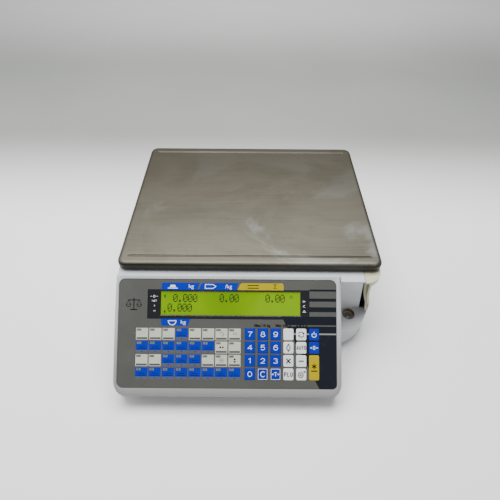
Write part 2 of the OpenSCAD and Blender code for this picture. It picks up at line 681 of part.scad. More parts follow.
module connector_panel() {
  color([0.24, 0.25, 0.27]) difference() {
    union() {
      box(pan_x0 + 0.2, pan_x1 - 0.2, yr - 3, yr - 0.4, pan_z0 + 0.2, pan_z1 - 0.2);
      box(pan_x0 - 4, pan_x1 + 4, yr - 5, yr - 3, pan_z0 - 4, pan_z1 + 4);
      box(inlet_x - 16, inlet_x + 16, yr - 24, yr - 4, inlet_z - 12, inlet_z + 12);
      box(inlet_x - 24 - 11, inlet_x - 24 + 7, yr - 18, yr - 4, inlet_z - 14, inlet_z + 14);
      box(inlet_x + 32, inlet_x + 66, yr - 12, yr - 4, inlet_z - 8, inlet_z + 8);
      box(inlet_x + 75.3, inlet_x + 94, yr - 18, yr - 4, inlet_z - 9, inlet_z + 9);
      along_x(inlet_x - 32.5, inlet_x - 19.5) translate([yr - 4.5, inlet_z]) circle(1.2);
    }
    // power inlet's well
    difference() {
      box(inlet_x - 13, inlet_x + 13, yr - 20, yr + 1, inlet_z - 8.5, inlet_z + 8.5);
      for (s = [-7, 0, 7]) box(inlet_x + s - 1, inlet_x + s + 1, yr - 21, yr - 8, inlet_z - 3, inlet_z + 3);
    }
    // switch opening, left with the rocker's pivot pin across it
    difference() {
      box(inlet_x - 32.2, inlet_x - 19.8, yr - 16, yr + 1, inlet_z - 10.5, inlet_z + 10.5);
      along_x(inlet_x - 33, inlet_x - 19) translate([yr - 4.5, inlet_z]) circle(1.2);
    }
    // serial and network sockets
    box(inlet_x + 38, inlet_x + 60, yr - 8, yr + 1, inlet_z - 5, inlet_z + 5);
    box(inlet_x + 77, inlet_x + 91, yr - 16, yr + 1, inlet_z - 6, inlet_z + 6);
    bar(inlet_x + 35, inlet_z, yr - 9, yr + 1, 1.6);
    bar(inlet_x + 63, inlet_z, yr - 9, yr + 1, 1.6);
  }
}

module power_switch() {
  x = inlet_x - 26;
  color([0.65, 0.10, 0.08]) along_x(x - 5.8, x + 5.8) difference() {
    polygon([[yr - 9, inlet_z - 4], [yr - 4.5, inlet_z - 9], [yr - 1.2, inlet_z - 9.2], [yr - 1.9, inlet_z],
      [yr, inlet_z + 9.2], [yr - 4.5, inlet_z + 9], [yr - 9, inlet_z + 4]]);
    translate([yr - 4.5, inlet_z]) circle(1.2 + run_gap);
  }
}

module fixing_screws() {
  color(steel) {
    for (p = screw_xy) {
      rod(p[0], p[1], 8.4, 10.2, 3.2);
      rod(p[0], p[1], 10, p[1] > base_y + 20 ? 44 : 32, 1.7);
    }
    for (s = [-10, 10]) {
      rod(s, pcy - 60, 9, 14, 5);
      rod(s, pcy - 60, 13.5, cell_z + 12, 3);
    }
    rod(0, pcy + 60, 15, cell_z - 1.2, 3);
    rod(0, pcy + 60, 30, 34, 5.5);
  }
}

module key(k, tint) {
  p = key_at(k);
  color(tint) on_panel() {
    box(p[0] - key_w / 2, p[0] + key_w / 2, p[1] - p[2] / 2, p[1] + p[2] / 2, -2, 0.3);
    box(p[0] - key_w / 2 - 0.7, p[0] + key_w / 2 + 0.7, p[1] - p[2] / 2 - 0.4, p[1] + p[2] / 2 + 0.4, -2,
      -overlay_t - 0.1);
  }
}

module key_7() { key(0, blue); }
module key_8() { key(1, blue); }
module key_9() { key(2, blue); }
module key_blank() { key(3, pale); }
module key_feed() { key(4, pale); }
module key_4() { key(5, blue); }
module key_5() { key(6, blue); }
module key_6() { key(7, blue); }
module key_diamond() { key(8, pale); }
module key_auto() { key(9, pale); }
module key_1() { key(10, blue); }
module key_2() { key(11, blue); }
module key_3() { key(12, blue); }
module key_times() { key(13, pale); }
module key_minus() { key(14, pale); }
module key_0() { key(15, blue); }
module key_clear() { key(16, blue); }
module key_tare() { key(17, blue); }
module key_plu() { key(18, pale); }
module key_total() { key(19, pale); }
module key_power() { key(20, blue); }
module key_zero() { key(21, blue); }
module key_print() { key(22, [0.86, 0.80, 0.05]); }

base_tray();
upper_housing();
console_bezel();
console_floor();
keypad_overlay();
display_window();
operator_lcd();
keypad_circuit();
main_board();
power_supply();
load_cell();
spider_bolts();
platter_support();
platter_cushions();
platter();
foot_front_left();
foot_front_right();
foot_rear_left();
foot_rear_right();
foot_lock_nuts();
spirit_level();
printer_door();
door_hinge_pins();
cassette_frame();
cassette_rails();
platen_roller();
drive_motor();
motor_pinion();
idler_gear();
label_roll();
roll_spindle();
rewind_spool();
thermal_head();
head_lever();
connector_panel();
power_switch();
fixing_screws();
key_0();
key_1();
key_2();
key_3();
key_4();
key_5();
key_6();
key_7();
key_8();
key_9();
key_blank();
key_feed();
key_power();
key_diamond();
key_auto();
key_zero();
key_times();
key_minus();
key_print();
key_clear();
key_tare();
key_plu();
key_total();
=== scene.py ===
import json
import math

import bmesh
import bpy
import numpy as np
from mathutils import Matrix, Vector

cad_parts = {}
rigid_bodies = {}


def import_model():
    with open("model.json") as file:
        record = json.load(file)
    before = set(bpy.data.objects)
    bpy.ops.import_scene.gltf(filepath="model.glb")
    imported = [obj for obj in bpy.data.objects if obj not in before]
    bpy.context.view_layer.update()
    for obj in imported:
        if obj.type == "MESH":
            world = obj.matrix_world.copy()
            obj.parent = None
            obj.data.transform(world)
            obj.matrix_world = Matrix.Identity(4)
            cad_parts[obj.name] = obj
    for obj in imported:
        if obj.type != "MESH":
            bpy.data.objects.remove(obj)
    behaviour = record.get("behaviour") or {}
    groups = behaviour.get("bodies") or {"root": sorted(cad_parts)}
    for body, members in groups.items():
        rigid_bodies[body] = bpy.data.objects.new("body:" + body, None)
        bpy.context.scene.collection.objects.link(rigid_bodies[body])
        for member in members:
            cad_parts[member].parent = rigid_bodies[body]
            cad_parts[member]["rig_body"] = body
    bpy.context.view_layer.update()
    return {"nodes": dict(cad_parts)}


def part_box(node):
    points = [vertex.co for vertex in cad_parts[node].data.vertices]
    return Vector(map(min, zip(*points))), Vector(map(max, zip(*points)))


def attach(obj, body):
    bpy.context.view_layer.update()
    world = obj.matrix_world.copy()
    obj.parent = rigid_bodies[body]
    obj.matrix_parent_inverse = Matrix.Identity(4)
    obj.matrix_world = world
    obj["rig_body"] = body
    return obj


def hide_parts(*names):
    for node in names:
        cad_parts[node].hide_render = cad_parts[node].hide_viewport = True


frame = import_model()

MM = 0.001
scene = bpy.context.scene


def span(node):
    """Lowest and highest corner of a CAD node, in millimetres."""
    lo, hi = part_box(node)
    return np.array(lo) / MM, np.array(hi) / MM


# ---------------------------------------------------------------- sizes, in millimetres
PLATTER_LO, PLATTER_HI = span("platter")
HOUSING_LO, HOUSING_HI = span("upper_housing")
TRAY_LO, TRAY_HI = span("base_tray")
BEZEL_LO, BEZEL_HI = span("console_bezel")
ROOF_Z = 127.0
YP = PLATTER_LO[1]
XR, XL = HOUSING_HI[0], HOUSING_LO[0]
YR = HOUSING_HI[1]
YF = BEZEL_LO[1]
CX1 = BEZEL_HI[0]
SEAM_Z = TRAY_HI[2]
PANEL_LEN = 152.0
PANEL_Y, PANEL_Z = YP - 16, ROOF_Z + 2
SLOPE = math.asin((PANEL_Z - 34.8) / PANEL_LEN)
COS, SIN = math.cos(SLOPE), math.sin(SLOPE)
OX0, OX1 = XL + 5.3, XR - 67.7
PLATE_Z = -3.6
WIN = (OX0 + 40.8, OX1 - 38.2, 14.7, 56.1)
PITCH_X, PITCH_T = 18.0, 18.4
KEY_X0, KEY_T0 = OX1 - 121.75, 76.6


def on_panel(p):
    """Panel place (across, up the slope, off the face) to the row frame: turned by the slope about X."""
    p = np.asarray(p, float)
    x, y, z = p[..., 0], p[..., 1], p[..., 2]
    return np.stack([x, PANEL_Y + y * COS - z * SIN, PANEL_Z + y * SIN + z * COS], -1)


# ---------------------------------------------------------------- mesh helpers
def piece(name, verts, faces, body, mats, index=None, replaces=(), slot=None):
    """Puts arrays of points (mm) and faces into a mesh object that rides on a body."""
    me = bpy.data.meshes.new(name)
    me.from_pydata((np.asarray(verts, float) * MM).tolist(), [], [list(map(int, f)) for f in faces])
    for m in mats if isinstance(mats, (list, tuple)) else [mats]:
        me.materials.append(m)
    if index is not None:
        me.polygons.foreach_set("material_index", np.asarray(index, np.int32))
    me.validate()
    me.update()
    ob = bpy.data.objects.new(name, me)
    scene.collection.objects.link(ob)
    settle(ob, body, replaces)
    return ob


def settle(ob, body, replaces=()):
    for n in replaces:
        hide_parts(n)
    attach(ob, body)


def shade(ob, angle=35):
    """Smooth shading, kept sharp where faces meet at more than the angle."""
    me = ob.data
    bm = bmesh.new()
    bm.from_mesh(me)
    for f in bm.faces:
        f.smooth = True
    lim = math.radians(angle)
    for e in bm.edges:
        e.smooth = len(e.link_faces) == 2 and e.calc_face_angle(0.0) < lim
    bm.to_mesh(me)
    bm.free()


def outward(ob):
    """Turns every face of a closed mesh outwards."""
    bm = bmesh.new()
    bm.from_mesh(ob.data)
    bmesh.ops.recalc_face_normals(bm, faces=bm.faces)
    bm.to_mesh(ob.data)
    bm.free()


def grid_faces(n, m, wrap_n=False, wrap_m=False, start=0):
    """Quads of an n by m grid of points, numbered row by row."""
    i = np.arange(n if wrap_n else n - 1)
    j = np.arange(m if wrap_m else m - 1)
    i, j = np.meshgrid(i, j, indexing="ij")
    a, b = i % n, (i + 1) % n
    c, d = j % m, (j + 1) % m
    return start + np.stack([a * m + c, a * m + d, b * m + d, b * m + c], -1).reshape(-1, 4)


def loft(rings, cap=(True, True), ring=False):
    """Closed loops of equal length joined in order; the ends are capped, or joined when ring is set."""
    rings = np.asarray(rings, float)
    n, m = rings.shape[:2]
    faces = grid_faces(n, m, wrap_n=ring, wrap_m=True).tolist()
    if not ring:
        if cap[0]:
            faces.append(list(range(m))[::-1])
        if cap[1]:
            faces.append([(n - 1) * m + k for k in range(m)])
    return rings.reshape(-1, 3), faces


def joined(parts):
    """Stacks (points, faces, material number) parts into one mesh."""
    verts, faces, index, n = [], [], [], 0
    for v, f, k in parts:
        v = np.asarray(v, float)
        verts.append(v)
        faces += [[n + i for i in q] for q in f]
        index += [k] * len(f)
        n += len(v)
    return np.concatenate(verts), faces, index


def round_loop(x0, x1, y0, y1, r, n=6):
    """Rectangle with rounded corners as one loop, counter-clockwise from the front left corner's left end.
    Each corner is n + 1 points on a quarter circle of its own radius."""
    r = [r] * 4 if np.isscalar(r) else r
    out = []
    for k, (cx, cy, a0) in enumerate([(x0 + r[0], y0 + r[0], 180), (x1 - r[1], y0 + r[1], 270),
                                      (x1 - r[2], y1 - r[2], 0), (x0 + r[3], y1 - r[3], 90)]):
        a = np.radians(a0 + np.linspace(0, 90, n + 1))
        out.append(np.stack([cx + r[k] * np.cos(a), cy + r[k] * np.sin(a)], -1))
    return np.concatenate(out)


def at_height(loop, z):
    loop = np.asarray(loop, float)
    return np.concatenate([loop, np.broadcast_to(np.asarray(z, float).reshape(-1, 1), (len(loop), 1))], 1)


def rounded_slab(x0, x1, y0, y1, z0, z1, corner, edge, n=6, m=3, foot=0.0):
    """Slab whose corners are quarter circles and whose top edge (and foot edge) is rounded."""
    rings = []
    if foot:
        for a in np.linspace(0, 90, m + 1):
            s = foot * (1 - math.sin(math.radians(a)))
            rings.append(at_height(round_loop(x0 + s, x1 - s, y0 + s, y1 - s, max(corner - s, 0.05), n),
                                   z0 + foot * (1 - math.cos(math.radians(a)))))
    else:
        rings.append(at_height(round_loop(x0, x1, y0, y1, corner, n), z0))
    for a in np.linspace(0, 90, m + 1):
        s = edge * (1 - math.cos(math.radians(a)))
        rings.append(at_height(round_loop(x0 + s, x1 - s, y0 + s, y1 - s, max(corner - s, 0.05), n),
                               z1 - edge + edge * math.sin(math.radians(a))))
    return loft(rings)


def turned(profile, centre, axis="z", n=48):
    """Profile of (radius, height) points turned about an axis through centre; ends on the axis are closed, and a
    profile that comes back to its start makes a ring."""
    prof = np.asarray(profile, float)
    shut = bool(np.allclose(prof[0], prof[-1]))
    prof = prof[:-1] if shut else prof
    a = np.linspace(0, 2 * math.pi, n, endpoint=False)
    r, h = prof[:, 0][:, None], prof[:, 1][:, None]
    u, v, w = r * np.cos(a), r * np.sin(a), h + 0 * a
    if axis == "z":
        p = np.stack([u, v, w], -1)
    elif axis == "y":
        p = np.stack([v, w, u], -1)
    else:
        p = np.stack([w, u, v], -1)
    return loft(p + np.asarray(centre, float), ring=shut)


def softened(node, mats, width=0.5, segments=2, body=None, angle=28, name=None, shade_at=32):
    """A CAD node's own shape with its loose triangles merged to flat faces and its edges rounded."""
    src = frame["nodes"][node]
    me = src.data.copy()
    me.name = name or node + "_shape"
    bm = bmesh.new()
    bm.from_mesh(me)
    bmesh.ops.remove_doubles(bm, verts=bm.verts, dist=2e-6)
    bmesh.ops.dissolve_limit(bm, angle_limit=math.radians(0.6), verts=bm.verts, edges=bm.edges)
    bm.to_mesh(me)
    bm.free()
    me.materials.clear()
    for m in mats if isinstance(mats, (list, tuple)) else [mats]:
        me.materials.append(m)
    me.polygons.foreach_set("material_index", np.zeros(len(me.polygons), np.int32))
    ob = bpy.data.objects.new(name or node + "_shape", me)
    scene.collection.objects.link(ob)
    shade(ob, shade_at)
    if width:
        b = ob.modifiers.new("rounded edges", "BEVEL")
        b.width, b.segments, b.limit_method = width * MM, segments, "ANGLE"
        b.angle_limit = math.radians(angle)
        b.harden_normals = True
        b.use_clamp_overlap = True
    settle(ob, body or src["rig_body"], [node])
    return ob


def solid(name, verts, faces, body, mats, angle=None, **more):
    """A closed piece with its faces turned outwards, shaded smooth below the angle when one is given."""
    ob = piece(name, verts, faces, body, mats, **more)
    outward(ob)
    if angle:
        shade(ob, angle)
    return ob


# ---------------------------------------------------------------- materials
def group(name, inputs, outputs, build):
    """A shader node group with named value inputs and outputs."""
    g = bpy.data.node_groups.new(name, "ShaderNodeTree")
    for label, default in inputs:
        s = g.interface.new_socket(label, in_out="INPUT", socket_type="NodeSocketFloat")
        s.default_value = default
    for label, kind in outputs:
        g.interface.new_socket(label, in_out="OUTPUT", socket_type=kind)
    build(g, g.nodes.new("NodeGroupInput"), g.nodes.new("NodeGroupOutput"))
    return g


def maths(g, op, a, b=None, c=None, clamp=False):
    n = g.nodes.new("ShaderNodeMath")
    n.operation, n.use_clamp = op, clamp
    for i, v in enumerate((a, b, c)):
        if v is None:
            continue
        if isinstance(v, (int, float)):
            n.inputs[i].default_value = v
        else:
            g.links.new(v, n.inputs[i])
    return n.outputs[0]


def noise(g, scale, detail=3.0, rough=0.55, stretch=None, distortion=0.0):
    """Noise on Object coordinates (metres); scale counts cells per metre and may be a socket."""
    co = g.nodes.new("ShaderNodeTexCoord").outputs["Object"]
    if stretch:
        m = g.nodes.new("ShaderNodeMapping")
        m.inputs["Scale"].default_value = stretch
        g.links.new(co, m.inputs["Vector"])
        co = m.outputs[0]
    n = g.nodes.new("ShaderNodeTexNoise")
    g.links.new(co, n.inputs["Vector"])
    if isinstance(scale, (int, float)):
        n.inputs["Scale"].default_value = scale
    else:
        g.links.new(scale, n.inputs["Scale"])
    n.inputs["Detail"].default_value = detail
    n.inputs["Roughness"].default_value = rough
    n.inputs["Distortion"].default_value = distortion
    return n.outputs["Fac"]


def place(g, axis):
    """One coordinate of the Object position, in metres."""
    n = g.nodes.new("ShaderNodeSeparateXYZ")
    g.links.new(g.nodes.new("ShaderNodeTexCoord").outputs["Object"], n.inputs[0])
    return n.outputs[axis]


def ramp(g, fac, lo, hi):
    n = g.nodes.new("ShaderNodeMapRange")
    n.interpolation_type = "SMOOTHSTEP"
    g.links.new(fac, n.inputs["Value"])
    for label, v in (("From Min", lo), ("From Max", hi)):
        if isinstance(v, (int, float)):
            n.inputs[label].default_value = v
        else:
            g.links.new(v, n.inputs[label])
    return n.outputs["Result"]


def build_grain(g, i, o):
    """Spark-eroded mould texture: fine noise over a slower one, and slow blotches for tone."""
    fine = noise(g, i.outputs["Grain"], 4, 0.6)
    slow = maths(g, "MULTIPLY", i.outputs["Grain"], 0.28)
    mid = noise(g, slow, 2, 0.5)
    height = maths(g, "ADD", maths(g, "MULTIPLY", fine, 0.7), maths(g, "MULTIPLY", mid, 0.3))
    g.links.new(height, o.inputs["Height"])
    blot = noise(g, i.outputs["Blotch"], 5, 0.6, distortion=0.6)
    g.links.new(ramp(g, blot, 0.38, 0.68), o.inputs["Tone"])


def build_marks(g, i, o):
    """Handling marks: small dark specks and long faint rubs."""
    spots = noise(g, i.outputs["Specks"], 2, 0.5)
    patch = noise(g, 9.0, 3, 0.6)
    specks = maths(g, "MULTIPLY", ramp(g, spots, 0.66, 0.74), ramp(g, patch, 0.45, 0.62))
    g.links.new(specks, o.inputs["Specks"])
    rub = noise(g, i.outputs["Rubs"], 3, 0.7, stretch=(1.0, 0.16, 1.0), distortion=1.2)
    g.links.new(ramp(g, rub, 0.56, 0.72), o.inputs["Rubs"])


def build_brushed(g, i, o):
    """Fine lines along X: noise squeezed to long threads, with a broader set under them."""
    a = noise(g, i.outputs["Lines"], 3, 0.7, stretch=(0.012, 1.0, 1.0))
    b = noise(g, maths(g, "MULTIPLY", i.outputs["Lines"], 0.2), 2, 0.6, stretch=(0.02, 1.0, 1.0))
    g.links.new(maths(g, "ADD", maths(g, "MULTIPLY", a, 0.65), maths(g, "MULTIPLY", b, 0.35)), o.inputs["Lines"])


FLOAT = "NodeSocketFloat"
GRAIN = group("mould grain", [("Grain", 1800.0), ("Blotch", 14.0)], [("Height", FLOAT), ("Tone", FLOAT)], build_grain)
MARKS = group("handling marks", [("Specks", 240.0), ("Rubs", 26.0)], [("Specks", FLOAT), ("Rubs", FLOAT)],
              build_marks)
BRUSHED = group("brushed lines", [("Lines", 2600.0)], [("Lines", FLOAT)], build_brushed)


def use(g, grp, **values):
    n = g.nodes.new("ShaderNodeGroup")
    n.node_tree = grp
    for k, v in values.items():
        n.inputs[k].default_value = v
    return n


def blend_colour(g, fac, a, b):
    n = g.nodes.new("ShaderNodeMix")
    n.data_type = "RGBA"
    for s, v in ((n.inputs[6], a), (n.inputs[7], b)):
        if isinstance(v, tuple):
            s.default_value = v + (1,) if len(v) == 3 else v
        else:
            g.links.new(v, s)
    if isinstance(fac, (int, float)):
        n.inputs[0].default_value = fac
    else:
        g.links.new(fac, n.inputs[0])
    return n.outputs[2]


def bump(g, height, depth, strength=1.0):
    n = g.nodes.new("ShaderNodeBump")
    n.inputs["Distance"].default_value = depth
    n.inputs["Strength"].default_value = strength
    g.links.new(height, n.inputs["Height"])
    return n.outputs[0]


def blank(name):
    m = bpy.data.materials.new(name)
    m.use_nodes = True
    return m, m.node_tree, m.node_tree.nodes["Principled BSDF"]


def shades(c, k):
    return tuple(max(0.0, min(1.0, v * k)) for v in c)


def moulded(name, colour, rough=0.45, grain=1800.0, depth=0.00002, tone=0.93, blotch=14.0, specks=0.25, rubs=0.1,
            coat=0.0, dirt=(0.20, 0.19, 0.17), sheen_rough=0.08):
    """Moulded or painted surface: base colour with slow tone change, specks and rubs, and a grained skin."""
    m, g, s = blank(name)
    skin = use(g, GRAIN, Grain=grain, Blotch=blotch)
    mark = use(g, MARKS)
    c = blend_colour(g, skin.outputs["Tone"], colour, shades(colour, tone))
    c = blend_colour(g, maths(g, "MULTIPLY", mark.outputs["Rubs"], rubs), c, dirt)
    c = blend_colour(g, maths(g, "MULTIPLY", mark.outputs["Specks"], specks), c, dirt)
    g.links.new(c, s.inputs["Base Color"])
    r = maths(g, "ADD", maths(g, "MULTIPLY", skin.outputs["Tone"], sheen_rough), rough - sheen_rough / 2)
    r = maths(g, "ADD", r, maths(g, "MULTIPLY", mark.outputs["Rubs"], -0.05), clamp=True)
    g.links.new(r, s.inputs["Roughness"])
    g.links.new(bump(g, skin.outputs["Height"], depth), s.inputs["Normal"])
    if coat:
        s.inputs["Coat Weight"].default_value = coat
        s.inputs["Coat Roughness"].default_value = 0.15
    return m


def metal(name, colour, rough=0.3, lines=None, grain=900.0, depth=0.00001, tone=0.85, stain=0.0,
          stain_colour=(0.2, 0.17, 0.13)):
    """Bare metal: cast grain, or brushed lines when lines is set, with stains."""
    m, g, s = blank(name)
    s.inputs["Metallic"].default_value = 1.0
    skin = use(g, GRAIN, Grain=grain, Blotch=11.0)
    c = blend_colour(g, skin.outputs["Tone"], colour, shades(colour, tone))
    height = skin.outputs["Height"]
    if lines:
        hair = use(g, BRUSHED, Lines=lines)
        height = hair.outputs["Lines"]
        c = blend_colour(g, ramp(g, height, 0.35, 0.65), shades(colour, 0.88), c)
    if stain:
        mark = use(g, MARKS, Specks=170.0, Rubs=18.0)
        c = blend_colour(g, maths(g, "MULTIPLY", mark.outputs["Specks"], stain), c, stain_colour)
        c = blend_colour(g, maths(g, "MULTIPLY", mark.outputs["Rubs"], stain * 0.5), c, stain_colour)
    g.links.new(c, s.inputs["Base Color"])
    r = maths(g, "ADD", maths(g, "MULTIPLY", height, 0.16), rough - 0.08)
    r = maths(g, "ADD", r, maths(g, "MULTIPLY", skin.outputs["Tone"], 0.08), clamp=True)
    g.links.new(r, s.inputs["Roughness"])
    g.links.new(bump(g, height, depth), s.inputs["Normal"])
    return m


def print_ink(name, colour, rough=0.42, wear=0.12):
    """Screen-printed ink on the overlay: thin, slightly uneven, worn a little."""
    m, g, s = blank(name)
    skin = use(g, GRAIN, Grain=2600.0, Blotch=60.0)
    mark = use(g, MARKS, Specks=420.0, Rubs=40.0)
    c = blend_colour(g, skin.outputs["Tone"], colour, shades(colour, 0.92))
    c = blend_colour(g, maths(g, "MULTIPLY", mark.outputs["Rubs"], wear), c, (0.20, 0.20, 0.19))
    g.links.new(c, s.inputs["Base Color"])
    g.links.new(maths(g, "ADD", maths(g, "MULTIPLY", skin.outputs["Tone"], 0.08), rough), s.inputs["Roughness"])
    g.links.new(bump(g, skin.outputs["Height"], 0.000012), s.inputs["Normal"])
    return m


HOUSING = moulded("housing grey-white", (0.50, 0.51, 0.53), 0.42, 1500, 0.000025, 0.93, specks=0.25, rubs=0.08)
TRAY = moulded("tray paint", (0.50, 0.51, 0.53), 0.40, 1300, 0.00003, 0.92, specks=0.35, rubs=0.10)
COVER = moulded("yellowed cover", (0.47, 0.46, 0.31), 0.44, 1500, 0.00003, 0.93, specks=0.3, rubs=0.06,
                dirt=(0.26, 0.22, 0.13))
OVERLAY = moulded("overlay grey", (0.083, 0.083, 0.077), 0.42, 3000, 0.00001, 0.90, specks=0.15, rubs=0.05)
INK_BLUE = print_ink("ink blue", (0.0005, 0.020, 0.36), 0.45, 0.03)
INK_NAVY = print_ink("ink navy", (0.006, 0.008, 0.014), 0.5, 0.03)
INK_YELLOW = print_ink("ink yellow", (0.40, 0.315, 0.0003), 0.45, 0.03)
INK_WHITE = print_ink("ink white", (0.80, 0.81, 0.80), 0.45, 0.03)
INK_CREAM = print_ink("ink cream", (0.52, 0.53, 0.45), 0.45, 0.08)
INK_TAG = print_ink("ink tag grey", (0.15, 0.16, 0.13), 0.45, 0.08)
INK_STRIP = print_ink("ink strip grey", (0.085, 0.09, 0.115), 0.45, 0.05)
INK_BAR = print_ink("ink bar grey", (0.080, 0.080, 0.075), 0.45, 0.05)
INK_BLACK = print_ink("ink black", (0.003, 0.003, 0.0035), 0.5, 0.01)
INK_LINE = print_ink("ink pale grey", (0.24, 0.25, 0.25), 0.45, 0.04)
KEY_BLUE = moulded("key blue", (0.0005, 0.018, 0.37), 0.38, 2600, 0.000015, 0.88, specks=0.08, rubs=0.03)
KEY_WHITE = moulded("key white", (0.76, 0.78, 0.77), 0.38, 2600, 0.000015, 0.95, specks=0.12, rubs=0.04)
KEY_YELLOW = moulded("key yellow", (0.42, 0.325, 0.0003), 0.38, 2600, 0.000015, 0.92, specks=0.12, rubs=0.05)
for ink in (OVERLAY, INK_BLUE, INK_NAVY, INK_YELLOW, INK_BLACK, INK_STRIP, INK_BAR, INK_TAG, KEY_BLUE, KEY_YELLOW):
    ink.node_tree.nodes["Principled BSDF"].inputs["Specular IOR Level"].default_value = 0.16
WINDOW = moulded("window black", (0.006, 0.006, 0.010), 0.10, 900, 0.000004, 0.8, specks=0.05, rubs=0.02, coat=0.6)
DARK = moulded("dark moulding", (0.03, 0.031, 0.033), 0.45, 1500, 0.00003, 0.85, specks=0.2, rubs=0.1)
RUBBER = moulded("rubber", (0.018, 0.018, 0.018), 0.75, 700, 0.00005, 0.7, specks=0.2, rubs=0.2,
                 dirt=(0.12, 0.11, 0.10))
ALLOY = metal("cast alloy", (0.62, 0.63, 0.65), 0.42, None, 500, 0.00006, 0.85, 0.15)
PLATED = metal("zinc plate", (0.60, 0.61, 0.60), 0.34, None, 260, 0.00001, 0.82, 0.12, (0.45, 0.42, 0.30))
STEEL = metal("turned steel", (0.52, 0.52, 0.51), 0.28, None, 1200, 0.00001, 0.85, 0.1)
BRASS = metal("brass", (0.72, 0.52, 0.22), 0.3, None, 900, 0.00001, 0.85, 0.1)
NYLON = moulded("white nylon", (0.72, 0.70, 0.62), 0.5, 1200, 0.00002, 0.9, specks=0.15, rubs=0.1)
LEVER = moulded("lever blue", (0.01, 0.08, 0.42), 0.35, 1500, 0.00002, 0.85)
ROCKER = moulded("rocker red", (0.42, 0.02, 0.015), 0.22, 1500, 0.00001, 0.85)
MOTOR = moulded("motor can", (0.16, 0.165, 0.17), 0.32, 900, 0.00002, 0.85, specks=0.2)
BOARD = moulded("board green", (0.015, 0.13, 0.05), 0.35, 600, 0.00002, 0.7, blotch=60, specks=0.5,
                dirt=(0.55, 0.45, 0.2))
MEMBRANE = moulded("membrane", (0.10, 0.10, 0.09), 0.5)
HEAD = metal("head alloy", (0.45, 0.33, 0.18), 0.36, None, 900, 0.00001, 0.8, 0.2)


# ---------------------------------------------------------------- materials with their own recipe
PLATE_PALE, PLATE_DEEP = (0.108, 0.098, 0.074), (0.078, 0.070, 0.053)
PLATE_WIPED, PLATE_STAIN_AND_SHADE = (0.165, 0.170, 0.155), (0.056, 0.048, 0.035)


def platter_steel():
    """Worn brushed stainless: hair lines along X, cloudy grey and brown stains, and pale wiped patches; the patches
    grow stronger towards the front and the steel darker towards the back as painted reflection.
    """
    m, g, s = blank("platter steel")
    s.inputs["Metallic"].default_value = 1.0
    hair = use(g, BRUSHED, Lines=2400.0)
    cloud = noise(g, 7.0, 5, 0.62, stretch=(0.7, 1.0, 1.0), distortion=0.8)
    wipe = noise(g, 5.2, 4, 0.55, distortion=1.2)
    fine = noise(g, 60.0, 6, 0.75)
    # near runs from 0 at the back to 1 at the front; it carries a painted reflection: paler patches towards the
    # front, darker steel towards the back.
    near = ramp(g, place(g, 1), float(PLATTER_HI[1]) * MM, float(PLATTER_LO[1]) * MM)
    patch = maths(g, "MULTIPLY", ramp(g, wipe, 0.50, 0.60), maths(g, "MULTIPLY_ADD", near, 0.7, 0.25))
    c = blend_colour(g, ramp(g, cloud, 0.36, 0.66), PLATE_PALE, PLATE_DEEP)
    c = blend_colour(g, maths(g, "MULTIPLY", patch, 0.75), c, PLATE_WIPED)
    c = blend_colour(g, maths(g, "MULTIPLY", ramp(g, fine, 0.56, 0.72), 0.40), c, PLATE_STAIN_AND_SHADE)
    c = blend_colour(g, maths(g, "MULTIPLY", ramp(g, hair.outputs["Lines"], 0.35, 0.65), 0.25), c, PLATE_WIPED)
    # Painted reflection shade: the steel darkens towards the back.
    c = blend_colour(g, maths(g, "MULTIPLY", maths(g, "SUBTRACT", 1.0, near), 0.45), c, PLATE_STAIN_AND_SHADE)
    g.links.new(c, s.inputs["Base Color"])
    r = maths(g, "ADD", maths(g, "MULTIPLY", cloud, 0.12), 0.42)
    r = maths(g, "ADD", r, maths(g, "MULTIPLY", hair.outputs["Lines"], 0.10))
    g.links.new(maths(g, "SUBTRACT", r, maths(g, "MULTIPLY", patch, 0.05), clamp=True), s.inputs["Roughness"])
    g.links.new(bump(g, hair.outputs["Lines"], 0.00001), s.inputs["Normal"])
    return m


def lcd_face():
    """Lit yellow-green glass: brighter in broad clouds."""
    m, g, s = blank("lcd face")
    cloud = noise(g, 9.0, 2, 0.5)
    c = blend_colour(g, ramp(g, cloud, 0.35, 0.65), (0.085, 0.180, 0.0005), (0.125, 0.240, 0.0008))
    g.links.new(c, s.inputs["Base Color"])
    g.links.new(c, s.inputs["Emission Color"])
    s.inputs["Emission Strength"].default_value = 0.6
    s.inputs["Roughness"].default_value = 0.4
    s.inputs["Specular IOR Level"].default_value = 0.08
    return m


def glass(name, colour, rough=0.03):
    m, g, s = blank(name)
    tint = noise(g, 300.0, 2, 0.5)
    g.links.new(blend_colour(g, tint, colour, shades(colour, 0.94)), s.inputs["Base Color"])
    s.inputs["Transmission Weight"].default_value = 1.0
    s.inputs["Roughness"].default_value = rough
    s.inputs["IOR"].default_value = 1.46
    return m


def paper_roll():
    """Wound label paper: the end faces show rings from the distance to the roll's own axis."""
    m, g, s = blank("wound paper")
    lo, hi = span("label_roll")
    dx = maths(g, "SUBTRACT", place(g, 0), float(lo[0] + hi[0]) / 2 * MM)
    dz = maths(g, "SUBTRACT", place(g, 2), float(lo[2] + hi[2]) / 2 * MM)
    dist = maths(g, "SQRT", maths(g, "ADD", maths(g, "MULTIPLY", dx, dx), maths(g, "MULTIPLY", dz, dz)))
    wave = maths(g, "SINE", maths(g, "MULTIPLY", dist, 2 * math.pi / 0.0007))
    c = blend_colour(g, maths(g, "MULTIPLY_ADD", wave, 0.5, 0.5), (0.80, 0.80, 0.76), (0.66, 0.65, 0.60))
    g.links.new(c, s.inputs["Base Color"])
    s.inputs["Roughness"].default_value = 0.7
    g.links.new(bump(g, wave, 0.00002), s.inputs["Normal"])
    return m


